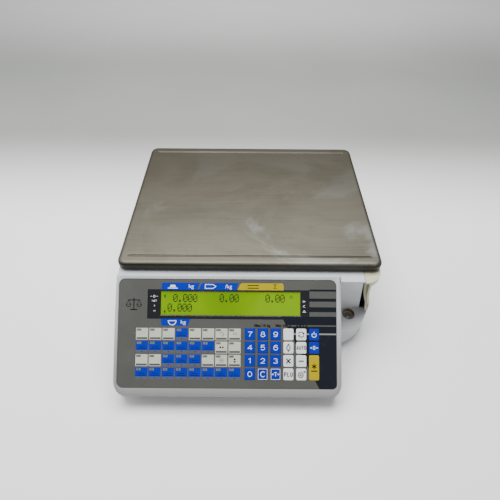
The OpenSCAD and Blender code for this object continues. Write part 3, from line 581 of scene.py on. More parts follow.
def handled_shell():
    """Console moulding: the housing's grey-white, darker towards the operator's edge as painted shade."""
    m = moulded("console grey-white painted shade", (0.50, 0.51, 0.53), 0.42, 1500, 0.000025, 0.93, specks=0.25, rubs=0.08)
    g, s = m.node_tree, m.node_tree.nodes["Principled BSDF"]
    base = s.inputs["Base Color"].links[0].from_socket
    # Painted shade: greyer towards the front edge, where the slope and front face turn away from the light.
    near = ramp(g, place(g, 1), float(YP - 30) * MM, float(YF + 1) * MM)
    g.links.new(blend_colour(g, maths(g, "MULTIPLY", near, 0.9), base, (0.24, 0.24, 0.235)), s.inputs["Base Color"])
    return m


PLATTER = platter_steel()
CONSOLE = handled_shell()
# Dark steel that paints shade and dark reflection on the platter's turned-down rim, the grooves' front halves and the
# underside, with real stains on it.
PAINTED_SHADE_STEEL = metal("platter rim painted shade", (0.055, 0.052, 0.044), 0.38, 2400.0, 900, 0.00001, 0.7, 0.3, (0.03, 0.026, 0.02))
LCD = lcd_face()
VIAL = glass("vial glass", (0.93, 0.95, 0.93))
LIQUID = moulded("level liquid", (0.68, 0.68, 0.69), 0.08, 400, 0.000002, 0.8, specks=0.0, rubs=0.0, coat=0.5)
RING = moulded("level ring", (0.60, 0.46, 0.32), 0.38, 1500, 0.00001, 0.9)
# Dark tan for the level's bore wall: painted shade.
BORE_SHADE = moulded("level bore painted shade", (0.17, 0.145, 0.095), 0.5, 900, 0.00002, 0.8)
PAPER = paper_roll()


# ---------------------------------------------------------------- platter
def make_platter():
    """Sheet steel tray. Top height z = H - groove(x, y), where groove = 1.3 (1 + cos(pi d / 2.4)) / 2 for d < 2.4,
    d the distance to either straight groove's centre line; the rim turns down round a 6.5 mm quarter circle."""
    hx, y0, y1, top, foot = PLATTER_HI[0], PLATTER_LO[1], PLATTER_HI[1], PLATTER_HI[2], PLATTER_LO[2]
    r, corner, t = 6.5, 7.0, 1.2
    a, yc, b = hx - r, (y0 + y1) / 2, (y1 - y0) / 2 - r
    edge = corner * np.array([0, 0.16, 0.32, 0.5, 0.68, 0.84, 1.0])
    near = np.linspace(-3, 3, 17)
    gx = hx - 16.0
    xs = np.unique(np.round(np.concatenate([-a + edge, a - edge, gx + near, -gx + near,
                                            np.linspace(-a + corner, a - corner, 31)]), 4))
    gy = b + r - 17.0
    ys = np.unique(np.round(np.concatenate([-b + edge, b - edge, gy + near, -gy + near,
                                            np.linspace(-b + corner, b - corner, 25)]), 4))
    X, Y = np.meshgrid(xs, ys, indexing="ij")
    u = np.clip((np.abs(X) - (a - corner)) / corner, 0, 1)
    v = np.clip((np.abs(Y) - (b - corner)) / corner, 0, 1)
    U, V = u * np.sqrt(1 - v * v / 2), v * np.sqrt(1 - u * u / 2)
    PX = np.where(u > 0, np.sign(X) * (a - corner + corner * U), X)
    PY = np.where(v > 0, np.sign(Y) * (b - corner + corner * V), Y)
    d = np.hypot(np.maximum(np.abs(X) - gx, 0), np.abs(np.abs(Y) - gy))
    groove = np.where(d < 2.4, 0.65 * (1 + np.cos(np.pi * np.minimum(d, 2.4) / 2.4)), 0.0)
    n, m = X.shape
    Z = top - groove
    topv = np.stack([PX, PY + yc, Z], -1).reshape(-1, 3)
    lowv = topv - [0, 0, t]
    idx = np.arange(n * m).reshape(n, m)
    rim = np.concatenate([idx[:-1, 0], idx[-1, :-1], idx[1:, -1][::-1], idx[0, 1:][::-1]])
    bx, by = PX.reshape(-1)[rim], PY.reshape(-1)[rim]
    nx = np.where(np.abs(bx) > a - corner, np.sign(bx) * (np.abs(bx) - (a - corner)), 0)
    ny = np.where(np.abs(by) > b - corner, np.sign(by) * (np.abs(by) - (b - corner)), 0)
    ln = np.hypot(nx, ny)
    nx, ny = nx / ln, ny / ln
    rings = []

    def ring(out, z):
        rings.append(np.stack([bx + nx * out, by + ny * out + yc, np.full(len(bx), z)], -1))

    for ang in (15, 30, 45, 60, 75, 90):
        ring(r * math.sin(math.radians(ang)), top - r * (1 - math.cos(math.radians(ang))))
    for z in (top - 9, foot + 0.4):
        ring(r, z)
    ring(r - 0.3, foot)
    ring(r - t + 0.3, foot)
    for z in (foot + 0.4, top - 9):
        ring(r - t, z)
    for ang in (90, 54, 18):
        ring((r - t) * math.sin(math.radians(ang)), top - t - (r - t) * (1 - math.cos(math.radians(ang))))
    k = len(rim)
    base = 2 * n * m
    verts = np.concatenate([topv, lowv] + rings)
    gf = grid_faces(n, m)
    faces = [list(q)[::-1] for q in gf.tolist()] + (gf + n * m).tolist()
    loops = [rim] + [base + i * k + np.arange(k) for i in range(len(rings))] + [rim + n * m]
    mid = (slice(None, -1), slice(None, -1))
    # Painted shade: the front half of each groove (the wall that faces away) and the whole underside take the dark
    # rim steel.
    dark = (d[mid] < 2.0) & (np.sign(Y[mid]) * gy - Y[mid] > 0.2)
    index = dark.reshape(-1).astype(int).tolist() + [1] * len(gf)
    # Painted shade: from 45 degrees down, the rim and its inside take the dark rim steel.
    for i, (p, q) in enumerate(zip(loops[:-1], loops[1:])):
        faces += np.stack([p, np.roll(p, -1), np.roll(q, -1), q], -1).tolist()
        index += [0 if i < 3 else 1] * k
    solid("platter_sheet", verts, faces, "platter", [PLATTER, PAINTED_SHADE_STEEL], 40, index=index, replaces=["platter"],
          slot="platter")
    cup = [(14, top - 2.0), (14, top - 1.0), (11.4, top - 1.0), (11.4, top - 2.0), (14, top - 2.0)]
    v, f, i = joined([turned(cup, (x, yc + y, 0.0)) + (0,) for x in (-130, 130) for y in (-95, 95)])
    solid("platter_cups", v - [0, 0, 1.0], f, "platter", STEEL, index=i)


make_platter()


# ---------------------------------------------------------------- console
def make_bezel():
    """Moulded console shell as one closed tube of index-matched loops: display opening, recess floor, recess edge,
    rim, fillet, walls, foot, inside and underside. The rim lies on the plane z = PZ + (y - PY) tan s + n / cos s."""
    n, tan = 6, SIN / COS
    step = TRAY_LO[1] - 0.6

    def plane_z(y, off):
        return PANEL_Z + (y - PANEL_Y) * tan + off / COS

    ridge = PANEL_Y + 5 * COS - 0.6 * SIN

    def head(y):
        return np.where(y < ridge, plane_z(y, 0.6), plane_z(ridge, 0.6) - 0.43 * (y - ridge))

    def closed(arcs, left, right):
        """Adds two points on each side where the foot steps up."""
        c = n + 1
        return np.concatenate([arcs[:2 * c], right, arcs[2 * c:], left])

    def on_plane(x0, x1, u0, u1, radii, off):
        loop = at_height(round_loop(x0, x1, u0, u1, radii, n), off)
        p = on_panel(loop)
        ysides = np.clip(np.array([step - 0.02, step]), p[:, 1].min() + 1, p[:, 1].max() - 1)
        z = plane_z(ysides, off)
        right = np.stack([np.full(2, x1), ysides, z], -1)
        left = np.stack([np.full(2, x0), ysides[::-1], z[::-1]], -1)
        return closed(p, left, right)

    def in_plan(side, front, back, radii, zf):
        loop = round_loop(XL + side, CX1 - side, YF + front, YP - 7.4 - back, radii, n)
        ys = np.array([step - 0.02, step])
        xy = closed(loop, np.stack([np.full(2, XL + side), ys[::-1]], -1), np.stack([np.full(2, CX1 - side), ys], -1))
        c = n + 1
        w = np.zeros(len(xy))
        arc = np.sin(np.radians(np.linspace(0, 90, c)))
        w[:c], w[c:2 * c] = arc, arc[::-1]
        return at_height(xy, zf(xy[:, 1], w))

    def foot(low, high):
        return lambda y, w: np.where(y < step - 0.01, low, high)

    off = PLATE_Z - 2.4
    win = (WIN[0] + 9.4, WIN[1] - 8.1, -WIN[3] + 1.5, -WIN[2] - 1.5)
    rings = [on_plane(*win, 0.6, off), on_plane(*win, 0.6, PLATE_Z),
             on_plane(OX0 - 0.25, OX1 + 0.25, -PANEL_LEN - 0.25, 0.25, [9, 6, 9, 9], PLATE_Z),
             on_plane(OX0 - 0.25, OX1 + 0.25, -PANEL_LEN - 0.25, 0.25, [9, 6, 9, 9], 0.2),
             on_plane(OX0 - 0.37, OX1 + 0.37, -PANEL_LEN - 0.37, 0.37, [9.1, 6.1, 9.1, 9.1], 0.48),
             on_plane(OX0 - 0.7, OX1 + 0.7, -PANEL_LEN - 0.7, 0.7, [9.4, 6.4, 9.4, 9.4], 0.6),
             on_plane(XL + 3.4, CX1 - 3.4, -156.6, 4.4, [13.6, 11.6, 4, 4], 0.6)]
    for a in np.radians([0, 18, 36, 54, 72, 90]):
        s, d = 1 - math.sin(a), 1 - math.cos(a)
        rings.append(in_plan(3 * s, 3.4 * s, 3 * s, [17 - 3 * s, 15 - 3 * s, 1.5, 1.5],
                             lambda y, w: head(y) - (3 - 0.5 * w) * d))
    rings += [in_plan(0, 0.9, 0, [16.9, 14.9, 1.5, 1.5], foot(23.6, 55)),
              in_plan(0, 3.1, 0, [16.5, 14.5, 1.5, 1.5], foot(18.3, 46)),
              in_plan(0, 5.7, 0, [16.3, 14.3, 1.5, 1.5], foot(14.6, 43.2)),
              in_plan(0.25, 7.2, 0.2, [15.6, 13.6, 1.3, 1.3], foot(12.7, 42.3)),
              in_plan(0.9, 8.5, 0.8, [14.6, 12.6, 1, 1], foot(12, 42)),
              in_plan(3.0, 10.4, 3.0, [13, 11, 1, 1], foot(12, 42)),
              in_plan(3.0, 10.4, 3.0, [13, 11, 1, 1], foot(13, 43)),
              in_plan(3.0, 11.0, 5.0, [13, 11, 1, 1], lambda y, w: plane_z(y, -6.3)),
              on_plane(XL + 6, CX1 - 6, -148, -4, [9, 6, 9, 9], off)]
    solid("console_shell", *loft(rings, ring=True), "chassis", CONSOLE, 30, replaces=["console_bezel"],
          slot="housing")


make_bezel()


def flat(loop, low, high):
    """A thin flat solid on the panel from one outline (across, down the slope), anticlockwise seen from above."""
    loop = np.asarray(loop, float) * [1, -1]
    if 0.5 * np.sum(loop[:, 0] * np.roll(loop[:, 1], -1) - np.roll(loop[:, 0], -1) * loop[:, 1]) < 0:
        loop = loop[::-1]
    v, f = loft([at_height(loop, low), at_height(loop, high)])
    return on_panel(v), f


def tile(x0, x1, t0, t1, r=0.4, n=3):
    return round_loop(x0, x1, t0, t1, r, n)


def ribbon(points, width, low, high, shut=False):
    """Line of constant width as one thin solid: at each point the two sides stand off along the mean of the
    neighbouring segments' normals, by half the width over the cosine of half the turn."""
    p = np.asarray(points, float) * [1, -1]
    d = np.roll(p, -1, 0) - p
    d = d if shut else np.concatenate([d[:-1], d[-2:-1]])
    d = d / np.maximum(np.hypot(d[:, 0], d[:, 1]), 1e-9)[:, None]
    before = np.roll(d, 1, 0) if shut else np.concatenate([d[:1], d[:-1]])
    mean = d + before
    mean = mean / np.maximum(np.hypot(mean[:, 0], mean[:, 1]), 1e-9)[:, None]
    w = np.stack([-mean[:, 1], mean[:, 0]], -1) * (width / 2 / np.maximum((mean * d).sum(-1), 0.45))[:, None]
    v, f = loft(np.stack([at_height(p - w, low), at_height(p + w, low), at_height(p + w, high),
                          at_height(p - w, high)], 1), ring=shut)
    return on_panel(v), f


def arc(cx, cy, r, a0, a1, n=14):
    a = np.radians(np.linspace(a0, a1, n))
    return np.stack([cx + r * np.cos(a), cy + r * np.sin(a)], -1)


def bow(cx, cy, rx, ry, a0, a1, n=16):
    """Part of an ellipse, angles in degrees, clockwise as seen because t runs down the panel."""
    a = np.radians(np.linspace(a0, a1, n))
    return np.stack([cx + rx * np.cos(a), cy + ry * np.sin(a)], -1)


def chain(*parts):
    return np.concatenate([np.asarray(p, float) for p in parts])


SIX = chain(bow(0.06, 0.02, 0.52, 0.72, 318, 262, 5), bow(0.06, 0.1, 0.5, 0.8, 255, 190, 8),
            bow(0, 0.24, 0.44, 0.46, 180, -180, 22))
FIGURES = {"0": [bow(0, 0, 0.45, 0.7, 0, 345, 24)], "1": [[(-0.3, -0.4), (0.08, -0.7), (0.08, 0.7)]],
           "2": [chain(bow(0, -0.27, 0.43, 0.43, 188, 385), [(-0.42, 0.68), (0.48, 0.68)])],
           "3": [bow(-0.03, -0.34, 0.40, 0.35, 200, 450), bow(-0.03, 0.34, 0.46, 0.35, 270, 520)],
           "4": [[(0.22, 0.7), (0.22, -0.66), (-0.48, 0.3), (0.5, 0.3)]],
           "5": [chain([(0.40, -0.68), (-0.32, -0.68), (-0.39, -0.04)], bow(-0.02, 0.24, 0.44, 0.45, 222, 512))],
           "6": [SIX], "7": [[(-0.44, -0.68), (0.46, -0.68), (0.02, 0.0), (-0.14, 0.7)]],
           "8": [bow(0, -0.36, 0.36, 0.33, 0, 345, 20), bow(0, 0.32, 0.45, 0.38, 0, 345, 20)], "9": [-SIX],
           "C": [bow(0.04, 0, 0.5, 0.7, 318, 42, 20)],
           "A": [[(-0.5, 0.7), (0, -0.7), (0.5, 0.7)], [(-0.34, 0.22), (0.34, 0.22)]],
           "U": [chain([(-0.44, -0.7), (-0.44, 0.2)], bow(0, 0.22, 0.44, 0.48, 180, 0, 12),
                       [(0.44, 0.2), (0.44, -0.7)])],
           "T": [[(-0.48, -0.68), (0.48, -0.68)], [(0, -0.68), (0, 0.7)]],
           "P": [chain([(-0.38, 0.7), (-0.38, -0.66), (0.0, -0.66)], bow(0.02, -0.28, 0.42, 0.38, 270, 450, 10),
                       [(-0.38, 0.1)])],
           "L": [[(-0.38, -0.7), (-0.38, 0.66), (0.44, 0.66)]]}
FIGURES["O"] = FIGURES["0"]


def lettering(words, x, t, size, spread, heavy):
    """Words as flat outlines on the panel: the font's own filled mesh, returned as (points, faces) at height 0."""
    cu = bpy.data.curves.new("words", "FONT")
    cu.body, cu.size, cu.align_x, cu.align_y = words, size * MM, "CENTER", "CENTER"
    cu.resolution_u, cu.offset = 3, heavy * MM
    tmp = bpy.data.objects.new("words", cu)
    scene.collection.objects.link(tmp)
    me = bpy.data.meshes.new_from_object(tmp)
    co = np.empty(len(me.vertices) * 3)
    me.vertices.foreach_get("co", co)
    co = co.reshape(-1, 3) / MM
    faces = [list(p.vertices) for p in me.polygons]
    bpy.data.objects.remove(tmp)
    bpy.data.meshes.remove(me)
    co[:, 0] = co[:, 0] * spread + x
    co[:, 1] = co[:, 1] - t
    return co, faces


def raised(flat_part, low, high):
    """A filled outline given as (points, faces) at height 0 made into a thin closed solid on the panel."""
    co, faces = flat_part
    n = len(co)
    edges = dict.fromkeys(e for f in faces for e in zip(f, f[1:] + f[:1]))
    rim = [(a, b) for a, b in edges if (b, a) not in edges]
    lo, hi = co.copy(), co.copy()
    lo[:, 2], hi[:, 2] = low, high
    out = [[i + n for i in f] for f in faces] + [f[::-1] for f in faces] + [[a, b, b + n, a + n] for a, b in rim]
    return on_panel(np.concatenate([lo, hi])), out


class Print:
    """Collects flat prints of one ink and puts them on the console as one mesh."""

    def __init__(self, name, ink, low=0.0, high=0.05):
        self.name, self.ink, self.low, self.high, self.parts = name, ink, low, high, []

    def shape(self, loop):
        self.parts.append(flat(loop, self.low, self.high) + (0,))

    def lines(self, points, width, shut=False):
        self.parts.append(ribbon(points, width, self.low, self.high, shut) + (0,))

    def words(self, text, x, t, size, spread=1.0, heavy=0.0):
        self.parts.append(raised(lettering(text, x, t, size, spread, heavy), self.low, self.high) + (0,))

    def put(self, body="chassis"):
        v, f, i = joined(self.parts)
        return solid(self.name, v, f, body, self.ink, index=i)

    def figures(self, text, x, t, width, height, line, pitch=1.4):
        """Signs drawn with a round pen: each is one or more open lines in a box one wide and 1.4 high."""
        for k, ch in enumerate(text):
            for part in FIGURES[ch]:
                middle = x + (k - (len(text) - 1) / 2) * width * pitch
                q = np.asarray(part, float) * [width, height / 1.4] + [middle, t]
                shut = bool(np.allclose(part[0], part[-1])) or ch in "08O"
                self.lines(q[:-1] if np.allclose(q[0], q[-1]) else q, line, shut)


def clip_poly(poly, a, b):
    """The part of a convex outline to the right of the line a to b, seen with t downwards."""
    poly, out = np.asarray(poly, float), []
    nrm = np.array([-(b[1] - a[1]), b[0] - a[0]])
    side = (poly - np.array(a)) @ nrm
    for i in range(len(poly)):
        p, q, sp, sq = poly[i], poly[(i + 1) % len(poly)], side[i], side[(i + 1) % len(poly)]
        if sp <= 0:
            out.append(p)
        if sp * sq < 0:
            out.append(p + (q - p) * sp / (sp - sq))
    return out


# overlay prints: blue and yellow tabs, stripes, preset cells, capacity line
navy = Print("print_navy", INK_NAVY, 0.0, 0.03)
RIGHT = OX1 - 0.2
DIAG = ((47.0, 55.0), (98.5, PANEL_LEN))
for t0, t1 in ((13.4, 16.1), (26.1, 30.4), (38.3, 45.1)):
    navy.shape([(WIN[1], t0), (RIGHT, t0), (RIGHT, t1), (WIN[1], t1)])
navy.shape(clip_poly([(40, 51.5), (RIGHT, 51.5), (RIGHT, 63.6), (40, 63.6)], *DIAG))
navy.shape(clip_poly([(40, 65.4), (RIGHT, 65.4), (RIGHT, 74.6), (40, 74.6)], *DIAG))
low = [(40, 77.4), (RIGHT, 77.4), (RIGHT, PANEL_LEN - 6), (RIGHT - 1.8, PANEL_LEN - 1.9),
       (RIGHT - 6, PANEL_LEN - 0.2), (40, PANEL_LEN - 0.2)]
navy.shape(clip_poly(low, *DIAG))
navy.put()

blue = Print("print_blue", INK_BLUE, 0.0, 0.05)
blue.shape([(-124.6, 15.2), (-124.6, 7.2), (-122.6, 5.2), (-70.9, 5.2), (-74.4, 15.2)])
blue.shape([(-72.2, 15.2), (-68.7, 7.0), (-66.2, 5.2), (-15.6, 5.2), (-19.2, 15.2)])
blue.shape([(-125.0, 55.8), (-83.5, 55.8), (-87.0, 65.6), (-122.0, 65.6), (-124.0, 64.2)])
yellow = Print("print_yellow", INK_YELLOW, 0.0, 0.05)
yellow.shape([(-17.0, 15.0), (-13.4, 7.0), (-11.0, 5.2), (46.0, 5.2), (48.0, 7.2), (48.0, 15.0)])
yellow.put()

white = Print("print_white", INK_WHITE, 0.0, 0.08)
black = Print("print_black", INK_BLACK, 0.0, 0.08)
white.words("kg", -83.0, 10.2, 7.6, 1.1)
white.words("/kg", -30.0, 10.2, 7.6, 1.1)
white.words("kg", -93.5, 60.6, 7.6, 1.1)
# weight, price and tare pictures: a block on a plate, a tag, a bowl
white.lines([(-116, 13), (-102, 13)], 1.1)
white.shape([(-113.5, 11.9), (-112.2, 8.2), (-105.8, 8.2), (-104.5, 11.9)])
white.lines([(-63, 7.4), (-52, 7.4), (-48, 10.2), (-52, 13), (-63, 13)], 1.0, True)
white.lines(arc(-109, 59.2, 5.4, 0, 180), 1.1)
white.lines([(-115, 58.6), (-103, 58.6)], 1.1)
black.words("Σ", 36.5, 10.2, 8.4, 1.1)
black.lines([(-3, 8.4), (13, 8.4)], 1.2)
black.lines([(-3, 12.2), (13, 12.2)], 1.2)
# balance picture at the left edge, in place of any mark
black.lines([(-172, 30), (-155, 30)], 1.1)
black.lines([(-163.5, 27), (-163.5, 43)], 1.3)
black.lines([(-168.5, 43.4), (-158.5, 43.4)], 1.4)
for s in (-171, -156):
    black.lines([(s, 30.2), (s - 3.2, 36), (s + 3.2, 36)], 0.6, True)
    black.lines(arc(s, 36, 3.4, 0, 180, 9), 0.9)
black.words("Max 15 kg     Min 100 g     e = 5 g", 44.0, 64.7, 5.0, 1.08, heavy=0.2)

cream = Print("print_cream", INK_CREAM, 0.0, 0.05)
tag = Print("print_tag", INK_TAG, 0.05, 0.075)
strip = Print("print_strip", INK_STRIP, 0.0, 0.04)
bar = Print("print_bar", INK_BAR, 0.05, 0.07)
notes = Print("print_notes", INK_BLACK, 0.05, 0.08)
outline = Print("print_cell_lines", INK_BAR, 0.0, 0.02)
# W: a cream cell with one bar; B: a blue cell over a grey strip
PATTERN = ("WWWBWWWW", "BBBBBBWW", "WWBBBWWW", "BBBBBBBB")
CELL_X0, CELL_T0, CELL_PITCH_X, CELL_PITCH_T = -159.4, 69.0, 18.62, 18.25
number = 0
for row, kinds in enumerate(PATTERN):
    t0 = CELL_T0 + row * CELL_PITCH_T
    for col, kind in enumerate(kinds):
        x0 = CELL_X0 + col * CELL_PITCH_X
        number += 1
        a, b, c, d = x0 - 0.5, x0 + 17.4, t0 - 0.5, t0 + 16.9
        outline.lines([(a, c), (b, c), (b, d), (a, d)], 0.35, True)
        if kind == "W":
            cream.shape(tile(x0, x0 + 16.9, t0, t0 + 16.4, 0.5))
            bar.shape(tile(x0 + 0.9, x0 + 16.0, t0 + 12.9, t0 + 15.6, 0.3))
        else:
            blue.shape(tile(x0, x0 + 16.9, t0, t0 + 12.4, 0.5))
            strip.shape(tile(x0 + 0.3, x0 + 16.6, t0 + 12.4, t0 + 16.2, 0.3))
        tag.shape(tile(x0 + (0.8 if kind == "W" else 1.4), x0 + 7.6, t0 + 0.8, t0 + 4.0, 0.3))
        notes.words(str(number), x0 + 4.3, t0 + 2.45, 2.9)
        if kind == "B":
            notes.lines([(x0 + 4.2, t0 + 8.0), (x0 + 13.2, t0 + 8.0)], 0.55)
            notes.lines([(x0 + 2.6, t0 + 10.6), (x0 + 14.6, t0 + 10.6)], 0.6)
            notes.lines([(x0 + 8.2, t0 + 14.4), (x0 + 9.4, t0 + 14.4)], 1.1)
# white cells' simple pictures: arrow round, lines, plus, up and down
for col, row, kind in ((6, 0, 0), (7, 0, 1), (6, 1, 2), (6, 2, 3), (7, 2, 4)):
    cx, cy = CELL_X0 + col * CELL_PITCH_X + 8.8, CELL_T0 + row * CELL_PITCH_T + 8.0
    if kind == 0:
        notes.lines(arc(cx, cy, 2.6, 200, 480, 12), 0.6)
    elif kind in (1, 3):
        for k in range(2 if kind == 1 else 3):
            notes.lines([(cx - 3.2, cy - 2 + 2.1 * k), (cx + 3.2, cy - 2 + 2.1 * k)], 0.55)
    elif kind == 2:
        notes.shape(tile(cx - 3, cx - 0.6, cy - 1.2, cy + 1.2, 0.3))
        notes.shape(tile(cx + 0.6, cx + 3, cy - 1.2, cy + 1.2, 0.3))
    else:
        notes.shape([(cx - 2.2, cy - 0.6), (cx, cy - 3.6), (cx + 2.2, cy - 0.6)])
        notes.shape([(cx - 2.2, cy + 0.6), (cx, cy + 3.6), (cx + 2.2, cy + 0.6)])
for p in (blue, white, black, cream, tag, strip, bar, notes, outline):
    p.put()
pale = Print("print_pale", INK_LINE, 0.03, 0.06)
pale.shape(clip_poly([(40, 75.2), (RIGHT, 75.2), (RIGHT, 76.8), (40, 76.8)], (48.5, 55.0), (100.0, PANEL_LEN)))
pale.put()


# ---------------------------------------------------------------- display
def make_display():
    """Black glossy pane with a bevelled opening, and the lit face 1 mm below it."""
    x0, x1, t0, t1 = WIN[0] + 0.1, WIN[1] - 0.1, WIN[2] + 0.1, WIN[3] - 0.1
    lx0, lx1, lt0, lt1 = -126.4, 72.6, 16.9, 51.6
    rings = []
    for a, b, c, d, r, off in ((x0, x1, t0, t1, 0.6, PLATE_Z), (x0, x1, t0, t1, 0.6, -0.12),
                               (x0 + 0.12, x1 - 0.12, t0 + 0.12, t1 - 0.12, 0.5, 0.0),
                               (lx0, lx1, lt0, lt1, 0.5, 0.0),
                               (lx0 + 0.15, lx1 - 0.15, lt0 + 0.15, lt1 - 0.15, 0.4, -0.1),
                               (lx0 + 0.9, lx1 - 0.9, lt0 + 0.9, lt1 - 0.9, 0.3, -1.1),
                               (lx0 + 0.9, lx1 - 0.9, lt0 + 0.9, lt1 - 0.9, 0.3, PLATE_Z)):
        rings.append(on_panel(at_height(round_loop(a, b, -d, -c, r, 4), off)))
    solid("display_pane", *loft(rings, ring=True), "chassis", WINDOW, 30, replaces=["display_window"], slot="window")
    v, f = rounded_slab(lx0 - 1.5, lx1 + 1.5, -lt1 - 1.0, -lt0 + 1.0, PLATE_Z - 4.5, -1.2, 0.4, 0.2, 3, 2)
    solid("display_face", on_panel(v), f, "chassis", LCD, replaces=["operator_lcd"], slot="lcd")
    v, f = rounded_slab(lx0 - 7, lx1 + 7, -lt1 - 3.0, -lt0 + 1.2, PLATE_Z - 7, PLATE_Z - 2.6, 1, 0.3, 3, 2)
    solid("display_board", on_panel(v), f, "chassis", BOARD)


make_display()
GLYPHS = {"0": (14, 17, 19, 21, 25, 17, 14), ".": (0, 0, 0, 0, 0, 12, 12), "<": (2, 6, 14, 30, 14, 6, 2),
          "o": (14, 17, 17, 14, 0, 0, 0)}


def dots(text, x, t, pitch=1.28, high=1.62, step=7.0):
    """Dot-matrix figures: each glyph is seven rows of five bits, one small square per bit."""
    for k, ch in enumerate(text):
        for row, bits in enumerate(GLYPHS[ch]):
            for col in range(5):
                if bits >> (4 - col) & 1:
                    a, b = x + k * step + col * pitch, t + row * high
                    c, d = a + pitch * 0.94, b + high * 0.94
                    lcd_dots.shape([(a, b), (c, b), (c, d), (a, d)])


lcd_ink = print_ink("lcd dots", (0.010, 0.016, 0.004), 0.3, 0.0)
lcd_dots = Print("display_dots", lcd_ink, -1.2, -1.15)
dots("0.000", -108.4, 21.3)
dots("0.000", -116.1, 34.7)
dots("0.00", -42.6, 21.0)
dots("0.00", 22.4, 21.0)
dots("<", -121.6, 21.2, 0.62, 0.85)
dots("<", -121.6, 43.0, 0.62, 0.85)
dots("o", 57.0, 22.4, 0.75, 1.0)
lcd_dots.put()
signs = Print("window_signs", INK_WHITE, 0.0, 0.06)
signs.lines([(-140.6, 24.6), (-137.8, 24.6)], 0.5)
signs.lines([(-132.4, 24.6), (-129.8, 24.6)], 0.5)
signs.lines(arc(-135.1, 24.6, 1.5, 0, 360, 13), 0.5)
signs.words("NET", -134.6, 31.0, 3.6, 1.1)
signs.words("P", -134.2, 38.0, 3.4)
signs.words("M", -134.2, 45.2, 3.4)
signs.lines([(75.6, 29.6), (77.8, 29.6), (77.8, 31.4), (75.6, 31.4)], 0.45, True)
signs.lines([(78.4, 30.5), (79.2, 30.5)], 0.6)
signs.lines(arc(77.4, 37.4, 1.5, 40, 320, 10), 0.5)
signs.lines([(75.4, 45.6), (77.4, 43.0), (79.4, 45.6)], 0.5, True)
signs.put()


# ---------------------------------------------------------------- keys
def crowned(x0, x1, t0, t1, corner, foot, edge, crown):
    """Key pad: rounded loops rising over the edge, then a slightly domed top, height falling as the square of the
    distance from the middle."""
    cx, cy, a, b = (x0 + x1) / 2, (t0 + t1) / 2, (x1 - x0) / 2, (t1 - t0) / 2
    rings = [at_height(round_loop(x0, x1, -t1, -t0, corner, 5), foot),
             at_height(round_loop(x0, x1, -t1, -t0, corner, 5), edge - 0.35)]
    for s, z in ((0.06, edge - 0.18), (0.2, edge - 0.05), (0.42, edge)):
        rings.append(at_height(round_loop(x0 + s, x1 - s, -t1 + s, -t0 - s, corner - s * 0.6, 5), z))
    for k in (0.8, 0.55, 0.3, 0.1):
        rings.append(at_height(round_loop(cx - a * k, cx + a * k, -cy - b * k, -cy + b * k, corner * k, 5),
                               edge + crown * (1 - k * k)))
    return loft(rings)


NAMES = ("7", "8", "9", "blank", "feed", "4", "5", "6", "diamond", "auto", "1", "2", "3", "times", "minus",
         "0", "clear", "tare", "plu", "total", "power", "zero", "print")
CLEAR = 0.06


